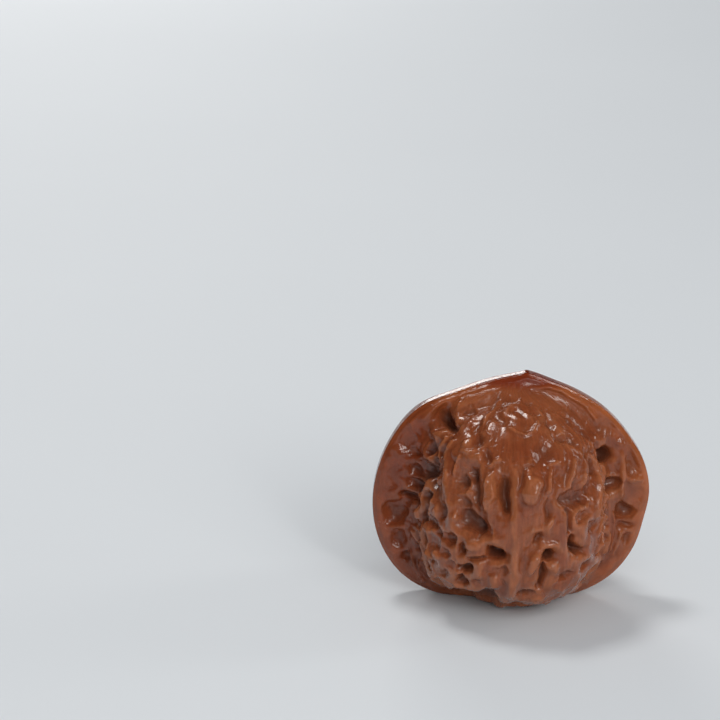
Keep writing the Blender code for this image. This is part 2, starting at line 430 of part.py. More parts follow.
def belly_mark(rng):
    centre = side_point(rng.uniform(-np.pi, np.pi), rng.uniform(1.2, 36.5))
    if abs(centre[1]) < 3.8:
        return None
    top = smooth_step(centre[2], 20.0, 33.0)
    half_length = rng.uniform(0.9, 2.3)
    half_width = rng.uniform(0.6, 1.15)
    depth = rng.uniform(1.1, 2.5) * (1.0 - 0.78 * top)
    lean = rng.uniform(-25.0, 25.0)
    return make_mark(centre, normals_at(centre), lean, half_length, half_width, depth)


def scattered_marks():
    """Pits of the belly's flanks and underside, at random but clear of each other."""
    rng = np.random.RandomState(SCATTER_SEED)
    marks = []
    for _ in range(SCATTER_TRIES):
        mark = flange_mark(rng) if rng.rand() < 0.25 else belly_mark(rng)
        if mark is None:
            continue
        if abs(mark.normal[1]) > 0.45 and mark.centre[2] > 3.0:
            continue
        if is_clear(mark, marks):
            marks.append(mark)
    return marks


def reach_to(mark, p, facing, squareness):
    """Points near a mark and their distance from its middle, one at its edge."""
    limit = 2.4 * max(mark.half_length, mark.half_width)
    near = np.flatnonzero(((p - mark.centre) ** 2).sum(axis=1) < limit**2)
    near = near[facing[near] @ mark.normal > 0.1]
    offset = p[near] - mark.centre
    u = np.abs(offset @ mark.along) / mark.half_length
    v = np.abs(offset @ mark.across) / mark.half_width
    return near, (u**squareness + v**squareness) ** (1 / squareness)


def pit_depth(marks, p, facing):
    deep = np.zeros(len(p))
    broad = np.zeros(len(p))
    for mark in marks:
        near, reach = reach_to(mark, p, facing, 2.4)
        deep[near] += (mark.height * bowl(-reach, -1.12, -0.2)) ** PIT_JOINING
        broad[near] += (mark.height * smooth_step(reach, 2.1, 0.6)) ** PIT_JOINING
    return deep ** (1 / PIT_JOINING) + SAG * broad ** (1 / PIT_JOINING)


def bowl(value, low, high):
    """Zero to one with a clear edge and a round bottom."""
    t = np.clip((value - low) / (high - low), 0.0, 1.0)
    t = np.sqrt(t * t + BOWL_EDGE**2) - BOWL_EDGE
    t = np.minimum(t / (np.sqrt(1.0 + BOWL_EDGE**2) - BOWL_EDGE), 1.0)
    return t * (2.0 - t)


def outline_depth(x, z, outline):
    """Distance inside a closed outline, below zero outside it."""
    corners = np.array(outline)
    inside = np.zeros(len(x), dtype=bool)
    gap = np.full(len(x), 99.0)
    for (x0, z0), (x1, z1) in zip(corners, np.roll(corners, -1, axis=0)):
        dx, dz = x1 - x0, z1 - z0
        t = np.clip(((x - x0) * dx + (z - z0) * dz) / (dx * dx + dz * dz), 0.0, 1.0)
        gap = np.minimum(gap, np.hypot(x - x0 - t * dx, z - z0 - t * dz))
        if z0 != z1:
            crossed = ((z0 > z) != (z1 > z)) & (x < x0 + (z - z0) * dx / dz)
            inside ^= crossed
    return np.where(inside, gap, -gap)


def hollow_depth(rows, reach, profile, p, facing):
    """Joined depth of drawn outlines; reach is how far a hollow goes past its outline."""
    total = np.zeros(len(p))
    front = np.flatnonzero(facing[:, 1] < 0.1)
    for depth, wall, outline in rows:
        xs, zs = np.array(outline).T
        x, z = p[front, 0], p[front, 2]
        near = (x > xs.min() - reach) & (x < xs.max() + reach)
        near &= (z > zs.min() - reach) & (z < zs.max() + reach)
        near = front[near]
        inner = outline_depth(p[near, 0], p[near, 2], outline)
        total[near] += (depth * profile(inner, -reach, wall)) ** PIT_JOINING
    return total ** (1 / PIT_JOINING)


def lobe_rise(marks, p, facing):
    total = np.zeros(len(p))
    for mark in marks:
        near, reach = reach_to(mark, p, facing, 2.2)
        total[near] = np.maximum(total[near], mark.height * smooth_step(reach, 1.12, LOBE_TOP))
    return total


def line_rise(rows, p, facing):
    """Height of the raised lines of the front, below zero in its grooves."""
    raised = np.zeros(len(p))
    sunk = np.zeros(len(p))
    for half_width, rise, points in rows:
        steps = np.arange(len(points))
        places = np.linspace(0.0, len(points) - 1.0, 5 * (len(points) - 1) + 1)
        xs = np.interp(places, steps, [point[0] for point in points])
        zs = np.interp(places, steps, [point[1] for point in points])
        line = front_points(xs, zs)
        middle = line.mean(axis=0)
        span = np.linalg.norm(line - middle, axis=1).max() + 3.0 * half_width
        near = np.flatnonzero((((p - middle) ** 2).sum(axis=1) < span**2) & (facing[:, 1] < 0.3))
        gap = np.full(len(near), 99.0)
        place = np.zeros(len(near))
        for count, (start, end) in enumerate(zip(line[:-1], line[1:])):
            part = end - start
            offset = p[near] - start
            t = np.clip(offset @ part / part.dot(part), 0.0, 1.0)
            distance = np.linalg.norm(offset - t[:, None] * part, axis=1)
            place = np.where(distance < gap, count + t, place)
            gap = np.minimum(gap, distance)
        share = place / (len(line) - 1.0)
        height = rise * np.exp(-((gap / half_width) ** 2))
        height *= smooth_step(np.minimum(share, 1.0 - share), 0.0, LINE_FADE)
        raised[near] = np.maximum(raised[near], height)
        sunk[near] = np.minimum(sunk[near], height)
    return raised + sunk


def fibre_place(p):
    """Points spread over a cylinder, so that noise runs in lines from tip to stem."""
    turn = np.arctan2(p[:, 0] - BELLY_X, p[:, 1])
    return np.stack([14.0 * np.sin(turn), 14.0 * np.cos(turn), 0.3 * p[:, 2]], axis=1)


def vein(p, size, seed):
    """Winding raised lines, one on a line and zero between."""
    return np.clip(1.0 - 2.6 * np.abs(lumps(p, size, seed)), 0.0, 1.0) ** 1.5


def drawn_relief(p, facing, warp):
    """Lobes less hollows, and the raised lines, for points that face the front."""
    height = lobe_rise(front_marks(FRONT_LOBES), p + WARP * warp, facing)
    bent = p + HOLLOW_WARP * warp
    height -= hollow_depth(FRONT_HOLLOWS, HOLLOW_REACH, bowl, bent, facing)
    height -= hollow_depth(FRONT_HOLLOWS, SAG_REACH, smooth_step, bent, facing) * SAG
    height -= hollow_depth(FRONT_DENTS, DENT_REACH, smooth_step, bent, facing)
    return height, line_rise(FRONT_LINES, p + LINE_WARP * warp, facing)


def relief(p, facing):
    """Height added to the smooth surface; millimetres, pits below zero."""
    warp = np.stack([lumps(p, 2.0, seed) for seed in WARP_SEEDS], axis=1)
    bent = p + WARP * warp
    slim = bent * np.array([1.0, 1.0, 0.6])
    drawn = smooth_step(np.abs(facing[:, 1]), 0.2, 0.7)
    calm = (1.0 - 0.72 * smooth_step(p[:, 2], 27.0, 33.0)) * (1.0 - DRAWN_CALM * drawn)
    height = LUMP_RISE * lumps(p, 5.0, 11) + KNOB_RISE * lumps(p, 2.3, 12) * calm
    height += calm * (VEIN_RISE * vein(slim, 2.9, 14) + 0.5 * VEIN_RISE * vein(slim, 1.5, 15))
    height += FIBRE_RISE * lumps(fibre_place(bent), 1.5, 13)
    ridge_side = smooth_step(np.abs(p[:, 0] + 0.3), 1.6, 0.9) * smooth_step(p[:, 2], 30.0, 26.0)
    height *= 1.0 - 0.8 * drawn * ridge_side
    shift = np.stack([lumps(p, 7.0, seed) for seed in SHIFT_SEEDS], axis=1)
    mirror = np.array([1.0, -1.0, 1.0])
    front, front_lines = drawn_relief(p, facing, warp)
    back, back_lines = drawn_relief((p + SHIFT * shift) * mirror, facing * mirror, warp)
    height += front + back - pit_depth(scattered_marks(), bent, facing)
    inset = outline_radius(p[:, 0], p[:, 2]) - np.hypot(p[:, 0], p[:, 2] - FLANGE_CENTRE_Z)
    height *= smooth_step(inset, RIM_BARE, RIM_FULL)
    return height + (front_lines + back_lines) * smooth_step(inset, 0.2, 0.8)


def starting_mesh(name):
    """A round belly and a flat flange in one piece of even faces, roughly in shape."""
    bm = bmesh.new()
    half_height = 0.5 * (BELLY_UP + BELLY_DOWN)
    belly = bmesh.ops.create_icosphere(bm, subdivisions=4, radius=1.0)["verts"]
    bmesh.ops.scale(bm, verts=belly, vec=(BELLY_HALF_X, BELLY_HALF_Y, half_height))
    bmesh.ops.translate(bm, verts=belly, vec=(BELLY_X, 0.0, half_height))
    flange = bmesh.ops.create_cone(bm, cap_ends=True, segments=96, radius1=1.0, radius2=1.0,
                                   depth=2.0 * FLANGE_EDGE_HALF)["verts"]
    for vertex in flange:
        x, depth, z = vertex.co.x, vertex.co.z, vertex.co.y
        radius = float(outline_radius(np.array(x), np.array(z + FLANGE_CENTRE_Z)))
        vertex.co = (radius * x, depth, FLANGE_CENTRE_Z + radius * z)
    bmesh.ops.recalc_face_normals(bm, faces=bm.faces)
    mesh = bpy.data.meshes.new(name)
    bm.to_mesh(mesh)
    bm.free()
    return mesh


def even_faces(obj):
    remesh = obj.modifiers.new("even faces", 'REMESH')
    remesh.mode = 'VOXEL'
    remesh.voxel_size = FACE_SIZE
    graph = bpy.context.evaluated_depsgraph_get()
    mesh = bpy.data.meshes.new_from_object(obj.evaluated_get(graph))
    obj.modifiers.remove(remesh)
    obj.data = mesh


def ease(values, edges, share):
    """Values of points moved by a share towards the middle of their neighbours' values."""
    count = np.bincount(edges.ravel(), minlength=len(values))[:, None]
    total = np.zeros_like(values)
    for column in range(values.shape[1]):
        total[:, column] = np.bincount(edges[:, 0], values[edges[:, 1], column], len(values))
        total[:, column] += np.bincount(edges[:, 1], values[edges[:, 0], column], len(values))
    return (1.0 - share) * values + share * total / count


def relax(p, edges, rounds):
    """Points moved towards the middle of their neighbours and back onto the surface."""
    for _ in range(rounds):
        p = settle(ease(p, edges, 0.6), 2)
    return p


def shape_nut(obj):
    mesh = obj.data
    p = np.empty(3 * len(mesh.vertices))
    mesh.vertices.foreach_get("co", p)
    p = settle(p.reshape(-1, 3), 8)
    edges = np.empty(2 * len(mesh.edges), dtype=int)
    mesh.edges.foreach_get("vertices", edges)
    edges = edges.reshape(-1, 2)
    p = relax(p, edges, RELAX_ROUNDS)
    facing = normals_at(p)
    p = p + facing * ease(relief(p, facing)[:, None], edges, RELIEF_EASE)
    p[:, 2] = np.maximum(p[:, 2] - FOOT_CUT, 0.0)
    p[:, 0] -= 0.5 * (p[:, 0].max() + p[:, 0].min())
    p[:, 1] -= 0.5 * (p[:, 1].max() + p[:, 1].min())
    mesh.vertices.foreach_set("co", (p * MM).ravel())
    bm = bmesh.new()
    bm.from_mesh(mesh)
    bmesh.ops.triangulate(bm, faces=bm.faces)
    bm.to_mesh(mesh)
    bm.free()
    mesh.shade_smooth()


def shell_material():
    material = bpy.data.materials.new("polished walnut shell")
    material.use_nodes = True
    shader = material.node_tree.nodes["Principled BSDF"]
    shader.inputs["Base Color"].default_value = SHELL_COLOUR
    shader.inputs["Roughness"].default_value = SHELL_ROUGHNESS
    shader.inputs["Metallic"].default_value = 0.0
    material.diffuse_color = SHELL_COLOUR
    return material


for old in list(bpy.data.objects):
    bpy.data.objects.remove(old, do_unlink=True)

parts = bpy.data.collections.new("wenwan walnut")
bpy.context.scene.collection.children.link(parts)
walnut = bpy.data.objects.new("walnut", starting_mesh("walnut"))
parts.objects.link(walnut)
even_faces(walnut)
shape_nut(walnut)
walnut.data.materials.append(shell_material())
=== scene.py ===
import math
from collections import namedtuple

import bpy
import bmesh
import numpy as np
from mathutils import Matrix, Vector


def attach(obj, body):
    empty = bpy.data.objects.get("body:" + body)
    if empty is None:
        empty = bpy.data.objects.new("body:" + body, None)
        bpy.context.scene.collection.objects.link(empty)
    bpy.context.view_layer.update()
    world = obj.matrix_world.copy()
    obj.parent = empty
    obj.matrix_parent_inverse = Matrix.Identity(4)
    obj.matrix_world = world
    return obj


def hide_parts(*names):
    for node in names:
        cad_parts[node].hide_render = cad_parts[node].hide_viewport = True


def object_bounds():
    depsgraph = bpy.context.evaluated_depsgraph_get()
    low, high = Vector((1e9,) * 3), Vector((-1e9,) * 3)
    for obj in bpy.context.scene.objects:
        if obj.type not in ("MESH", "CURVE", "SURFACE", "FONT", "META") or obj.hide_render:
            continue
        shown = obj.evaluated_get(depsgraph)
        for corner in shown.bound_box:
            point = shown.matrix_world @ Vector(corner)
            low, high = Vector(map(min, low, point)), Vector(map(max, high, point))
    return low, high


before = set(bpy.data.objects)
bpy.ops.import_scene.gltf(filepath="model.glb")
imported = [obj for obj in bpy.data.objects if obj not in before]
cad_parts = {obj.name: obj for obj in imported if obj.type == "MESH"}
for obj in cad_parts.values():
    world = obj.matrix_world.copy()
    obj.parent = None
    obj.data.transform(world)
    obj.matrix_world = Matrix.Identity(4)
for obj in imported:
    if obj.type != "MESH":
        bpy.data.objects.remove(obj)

MM = 0.001

# Flange outline in the seam plane, (x, z) in millimetres, clockwise from the tip.
FLANGE_OUTLINE = [
    (1.2, 38.9), (2.3, 39.15), (3.3, 38.9), (6.2, 37.8), (10.4, 36.0), (15.0, 33.1), (19.4, 28.3),
    (22.3, 22.9), (23.0, 18.6), (22.2, 13.8), (20.5, 8.4), (17.5, 4.2), (12.4, 0.9), (4.0, -0.2),
    (-5.0, 0.0), (-12.8, 0.7), (-17.9, 3.7), (-21.4, 8.7), (-23.0, 15.6), (-22.4, 21.6),
    (-20.1, 27.5), (-16.1, 32.7), (-8.9, 36.0), (-3.0, 38.0),
]
FLANGE_CENTRE_Z = 19.0
FLANGE_EDGE_HALF = 1.35
FLANGE_FLARE = 0.16
FLANGE_FLARE_END = 14.0
FLANGE_ROUNDING = 0.6
FLANGE_FILLET = 2.5

# Belly: half width, half depth and height above and below its widest level.
BELLY_X = -0.2
BELLY_Z = 16.5
BELLY_HALF_X = 16.6
BELLY_HALF_Y = 19.0
BELLY_UP = 19.0
BELLY_DOWN = 16.5
BELLY_ROUNDNESS = 2.1
BELLY_POWER_UP = 2.3
BELLY_POWER_DOWN = 2.5
BELLY_SCALE = 17.5

# Search for the smooth surface: how slopes are taken, the longest move, and the halvings.
SLOPE_STEP = 0.02
LEAST_SLOPE_SQUARED = 0.05
LONGEST_MOVE = 1.5
FRONT_START = -25.0
FRONT_HALVINGS = 34
SIDE_NEAR = 0.5
SIDE_FAR = 26.0
SIDE_HALVINGS = 26

# Smooth noise: values in its table, start of its cells, and a prime for each axis.
NOISE_VALUES = 4096
NOISE_START = 64.0
NOISE_PRIMES = (73856093, 19349663, 83492791)

# Oval pits and lobes: reach is zero in the middle of a mark and one at its edge.
PIT_JOINING = 4.0
PIT_SQUARENESS = 2.4
PIT_WALL = (-1.12, -0.2)
PIT_SAG = (2.1, 0.6)
LOBE_SQUARENESS = 2.2
LOBE_FOOT = 1.12
LOBE_TOP = 0.4
MARK_REACH = 2.4
LEAST_FACING = 0.1

# Drawn hollows, dents and lines: shares, and how far they reach in millimetres.
BOWL_EDGE = 0.15
HOLLOW_REACH = 0.35
SAG = 0.45
SAG_REACH = 1.4
DENT_REACH = 1.2
FRONT_LIMIT = 0.1
LINE_LIMIT = 0.3
LINE_FADE = 0.2
LINE_STEPS = 5
LINE_SPAN = 3.0

# How far in from the rim, in millimetres, lines and the rest of the relief begin and are full.
LINE_RIM = (0.2, 0.8)
RELIEF_RIM = (0.5, 1.5)

# Gap before any line is measured, wider than the nut.
FAR = 99.0

# Noise that bends the marks, and that shifts those of the back.
WARP = 0.5
WARP_SIZE = 2.0
WARP_SEEDS = (21, 22, 23)
HOLLOW_WARP = 0.25
LINE_WARP = 0.3
SHIFT = 1.5
SHIFT_SIZE = 7.0
SHIFT_SEEDS = (31, 32, 33)

# Lumps, knobs, veins and fibres: rise, then size and seed.
LUMP_RISE = 0.3
LUMP = (5.0, 11)
KNOB_RISE = 0.2
KNOB = (2.3, 12)
VEIN_RISE = 0.4
VEIN = (2.9, 14)
FINE_VEIN_SHARE = 0.5
FINE_VEIN = (1.5, 15)
VEIN_STRETCH = 0.6
VEIN_SHARPNESS = 2.6
VEIN_POWER = 1.5
FIBRE_RISE = 0.08
FIBRE = (1.5, 13)
FIBRE_RADIUS = 14.0
FIBRE_STRETCH = 0.3

# Calmer places: what is drawn, the top, and both sides of the ridge.
DRAWN_CALM = 0.45
DRAWN_FACING = (0.2, 0.7)
TOP_CALM = 0.72
TOP_LEVELS = (27.0, 33.0)
RIDGE_X = -0.3
RIDGE_CALM = 0.8
RIDGE_SIDE = (1.6, 0.9)
RIDGE_TOP = (30.0, 26.0)

# Scattered pits, lengths in millimetres: how clear of each other, where, and in what ranges.
SCATTER_SEED = 7
SCATTER_TRIES = 2500
PIT_GAP = 0.4
CLEAR_LENGTH = 0.7
CLEAR_WIDTH = 0.8
CLEAR_DEPTH = 4.0
FLANGE_SHARE = 0.25
SIDE_FACING = 0.45
UNDERSIDE = 3.0
FLANGE_PIT_INSET = (2.8, 6.5)
FLANGE_PIT_FRONT = -3.6
FLANGE_PIT_LEAN = 20.0
FLANGE_PIT_LENGTH = (1.0, 1.9)
FLANGE_PIT_WIDTH = (0.8, 1.4)
FLANGE_PIT_LEAST = 0.25
FLANGE_PIT_DEPTH = (0.3, 0.9)
FLANGE_PIT_LEVELS = (34.0, 24.0)
BELLY_PIT_LEVELS = (1.2, 36.5)
BELLY_PIT_SEAM = 3.8
BELLY_PIT_LENGTH = (0.9, 2.3)
BELLY_PIT_WIDTH = (0.6, 1.15)
BELLY_PIT_DEPTH = (1.1, 2.5)
BELLY_PIT_TOP = (20.0, 33.0)
BELLY_PIT_CALM = 0.78
BELLY_PIT_LEAN = 25.0

# Foot: the lowest part is worn flat.
FOOT_CUT = 0.3

# Mesh: starting faces, size of a face, and rounds of moving its points.
BELLY_SUBDIVISIONS = 4
FLANGE_SEGMENTS = 96
FACE_SIZE = 0.28
SETTLE_ROUNDS = 6
RELAX_ROUNDS = 3
RELAX_SETTLE_ROUNDS = 2
EASE_SHARE = 0.6
WEAR_ROUNDS = 40

# Shell colours, from the painted shade at the bottom of the pits to the crests, lighter for their
# polished wear and for a painted highlight.
# The pit and sunk colours are painted shade that darkens the pits and hollows.
SHELL_PIT_PAINTED_SHADE = (0.045, 0.016, 0.011, 1.0)
SHELL_SUNK_PAINTED_SHADE = (0.085, 0.022, 0.010, 1.0)
SHELL_DARK = (0.19, 0.045, 0.016, 1.0)
SHELL_MID = (0.243, 0.067, 0.024, 1.0)
# The crest colour is partly the polished wear of the ridges and partly a painted highlight.
SHELL_CREST_WEAR_AND_HIGHLIGHT = (0.33, 0.105, 0.040, 1.0)
SHELL_RIM = (0.33, 0.082, 0.020, 1.0)
SHELL_TIP = (0.17, 0.020, 0.006, 1.0)
SHELL_LEFT_FLANGE = (0.13, 0.018, 0.005, 1.0)

# Where each colour lies, from none to full, in millimetres, and how strong it is. The blotches go by
# the value of their noise, and the left side of the flange is in metres.
BLOTCH_SPAN = (0.3, 0.7)
DEEP_SPAN = (-0.6, -2.6)
SUNK_SPAN = (-0.03, -0.5)
CREST_SPAN = (0.06, 0.4)
RIM_SPAN = (3.2, 0.6)
TIP_SPAN = (36.0, 37.8)
LEFT_FLANGE_SIDE = (-0.008, -0.016)
LEFT_FLANGE_FLAT = (5.5, 3.5)
PIT_SHADE_SHARE = 0.65
SUNK_SHADE_SHARE = 0.35
CREST_WEAR_AND_HIGHLIGHT_SHARE = 0.7
RIM_SHARE = 0.45
TIP_SHARE = 0.85
LEFT_FLANGE_SHARE = 0.55

# Noise of the finish: scale, detail and roughness. Its values lie around the middle.
NOISE_MIDDLE = 0.5
FIBRE_NOISE = (2.2, 4.0, 0.6)
FIBRE_TURNS = 14.0
FIBRE_LEVELS = 0.16
FIBRE_SHADE = (0.35, 0.7, 0.85, 1.12)
BLOTCH_NOISE = (170.0, 3.0, 0.55)
SPECK_NOISE = (1500.0, 2.0, 0.5)
WRINKLE_NOISE = (800.0, 3.0, 0.6)
CREASE_NOISE = (330.0, 2.0, 0.5)

# Gloss: least and most roughness, what pits add to it, and what the polished rim takes off.
GLOSS = (0.18, 0.28)
DEEP_ROUGHNESS = 0.16
SUNK_ROUGHNESS = 0.12
RIM_POLISH = (0.6, 0.2, 0.0, 0.14)
SHELL_FINISH = {
    "IOR": 1.43,
    "Coat Weight": 0.25,
    "Coat Roughness": 0.08,
    "Subsurface Weight": 0.12,
    "Subsurface Radius": (1.0, 0.35, 0.2),
    "Subsurface Scale": 0.0012,
}

# Bumps too fine for the mesh; the rim's lines by their turn in radians for each millimetre.
FIBRE_BUMP = 0.6
SPECK_BUMP = 0.25
EDGE_LINES = 7.0
EDGE_SPAN = (0.9, 0.3)
EDGE_BUMP = 2.2
WRINKLE_BUMP = 0.5
CREASE_BUMP = (0.0, 0.03, 0.25, 0.0)
BUMP_STRENGTH = 0.5
BUMP_DISTANCE = 0.00018

# Camera: where it looks from, and where the nut lies in the frame.
VIEW_DOWN = 18.0
VIEW_DISTANCE = 450.0
PIXELS_PER_MM = 6.0
FRAME_PIXELS = 720.0
AXIS_PIXEL = (360.0, 422.0)
ANCHOR_Z = 18.7
ANCHOR_PIXEL = (510.5, 486.6)
SENSOR_WIDTH = 36.0
CLIP_START = 0.01

# Floor and surroundings.
FLOOR_RADIUS = 3.0
FLOOR_SEGMENTS = 96
FLOOR_DARK = (0.63, 0.66, 0.69, 1.0)
FLOOR_LIGHT = (0.66, 0.69, 0.72, 1.0)
FLOOR_NOISE = (6.0, 2.0, 0.5)
FLOOR_ROUGHNESS = 0.75
ROOM_COLOUR = (0.86, 0.9, 0.95, 1.0)
ROOM_STRENGTH = 0.3

# Lights: name, place, size, power, colour, and whether the shell mirrors it.
LIGHT_TARGET = (0.0, 0.0, 0.018)
SOFT_WHITE = (1.0, 0.985, 0.96)
WARM_WHITE = (1.0, 0.98, 0.95)
LIGHTS = [
    ("overhead softbox", (-0.30, 0.34, 1.02), (0.28, 0.20), 3.8, SOFT_WHITE, True),
    ("right softbox", (1.0, 0.25, 0.45), (0.2, 0.4), 1.3, SOFT_WHITE, True),
    ("back softbox", (-0.28, 1.2, 0.37), (0.5, 0.18), 4.0, SOFT_WHITE, True),
    ("window", (0.45, -1.05, 0.58), (0.16, 0.42), 3.0, SOFT_WHITE, True),
    ("front fill", (0.3, -1.0, 0.7), (1.4, 1.0), 9.2, WARM_WHITE, False),
]

# Broad soft dents of the front, drawn as seen from the front: depth, width of the wall, outline (x, z).
FRONT_DENTS = [
    (1.05, 1.3, [(-9.9, 27.6), (-8, 28), (-6, 27.8), (-5.6, 25), (-5.6, 22.5), (-4.6, 20.5), (-4.2, 17.3),
        (-6.5, 16.6), (-9, 17.2), (-9.8, 20), (-10.1, 24)]),
    (0.9, 1.3, [(5, 27.4), (8.4, 27), (8.6, 24), (12.4, 23.2), (12.4, 20.2), (9.6, 20), (8, 20.8),
        (7.8, 22), (5.6, 23.2)]),
    (0.6, 1.6, [(-12.2, 28), (-14, 29.5), (-15.6, 26.5), (-16.6, 23), (-16.8, 19.5), (-15.2, 16),
        (-12.4, 15), (-11.9, 20)]),
    (0.7, 1.85, [(-2.6, 27.5), (-1.2, 27.1), (-0.9, 25.1), (-0.9, 22.6), (-1.2, 20.8), (-2.1, 20.6),
        (-3, 21.9), (-3.6, 23.5), (-3.7, 25.3), (-3.3, 26.7)]),
    (0.7, 1.64, [(-5.3, 13.1), (-4.8, 15.4), (-3, 15), (-1.3, 13.8), (-1.2, 12.6), (-3, 12),
        (-4.8, 12.2)]),
    (0.7, 1.4, [(4.3, 12.6), (4.3, 14.7), (5.6, 14.9), (6.8, 14.2), (7.4, 13), (6.4, 12), (5.2, 12)]),
    (0.6, 1.01, [(1.5, 15.2), (1.1, 13), (1.2, 11.3), (1.8, 11.6), (2.2, 13.2), (2.9, 14.8)]),
    (0.45, 2.04, [(7.8, 17), (7.7, 14), (8.6, 11.8), (10.2, 11.5), (12, 12.6), (11.9, 14), (10.6, 15.2),
        (9.6, 16.8)]),
    (0.8, 1.47, [(5.5, 24), (5.4, 26.4), (6.2, 27.1), (7.4, 26.9), (8.1, 25.5), (8, 24.1), (6.9, 23.6)]),
    (0.45, 1.27, [(-18.5, 26.4), (-17.9, 28.5), (-16.6, 29.5), (-15.7, 28.8), (-16.1, 27),
        (-17.4, 25.7)]),
    (0.4, 1.2, [(-20.6, 19.6), (-20.4, 23), (-19.4, 24.6), (-18.6, 23), (-18.8, 20)]),
    (0.5, 1.59, [(19, 22.2), (18.9, 24.4), (19.8, 25.6), (20.9, 24.9), (21.6, 23.2), (21.5, 21.9),
        (20.2, 21.4)]),
    (0.55, 1.63, [(19, 17.6), (18.9, 19.9), (19.8, 20.6), (21.4, 20.5), (22, 19.2), (21.8, 17.6),
        (20.6, 16.9)]),
    (0.5, 1.4, [(15.5, 31.7), (16.6, 32), (18, 29.9), (18.4, 28.3), (17.3, 27.5), (16.1, 28.6),
        (15.5, 30)]),
    (0.45, 2.46, [(4.9, 36.4), (7.8, 36.2), (9.8, 34.8), (11.7, 33.3), (13.2, 31.5), (14.3, 29.6),
        (13.4, 28.8), (11.6, 29.4), (9.4, 30.5), (7.4, 32.4), (5.8, 34), (4.7, 35.6)]),
    (0.75, 0.9, [(-2.3, 35.9), (-3.6, 35.5), (-5, 34.8), (-6.4, 34), (-7.4, 33.2), (-7, 32.6), (-5.4, 33),
        (-4.5, 33.9), (-3.4, 34.6), (-2.3, 35.3)]),
    (0.9, 1.2, [(-12.2, 31.4), (-11.8, 32.8), (-11, 33.6), (-10.2, 33), (-10, 31.8), (-10.8, 30.9)]),
    (0.5, 0.9, [(-8.2, 33), (-6.5, 33.6), (-5.2, 34), (-4.9, 33.4), (-6.5, 32.7), (-8, 32.3)]),
    (0.6, 1.4, [(8.3, 32.4), (9.6, 32.9), (11.5, 31.8), (13.2, 30.2), (13.8, 29), (12.6, 29.2),
        (10.6, 30.6), (9, 31.6)]),
    (0.95, 1.5, [(3.1, 28.3), (3, 30), (3.6, 31.3), (4.8, 31.5), (6, 30.4), (6.2, 29), (5.2, 28),
        (4, 27.9)]),
    (0.8, 1, [(1.5, 14.6), (2, 16.2), (3, 17.2), (4.2, 17.4), (5, 16.8), (6.2, 16.3), (5.2, 15.6),
        (4.2, 15.2), (3.2, 14.3), (2.2, 13.8)]),
]

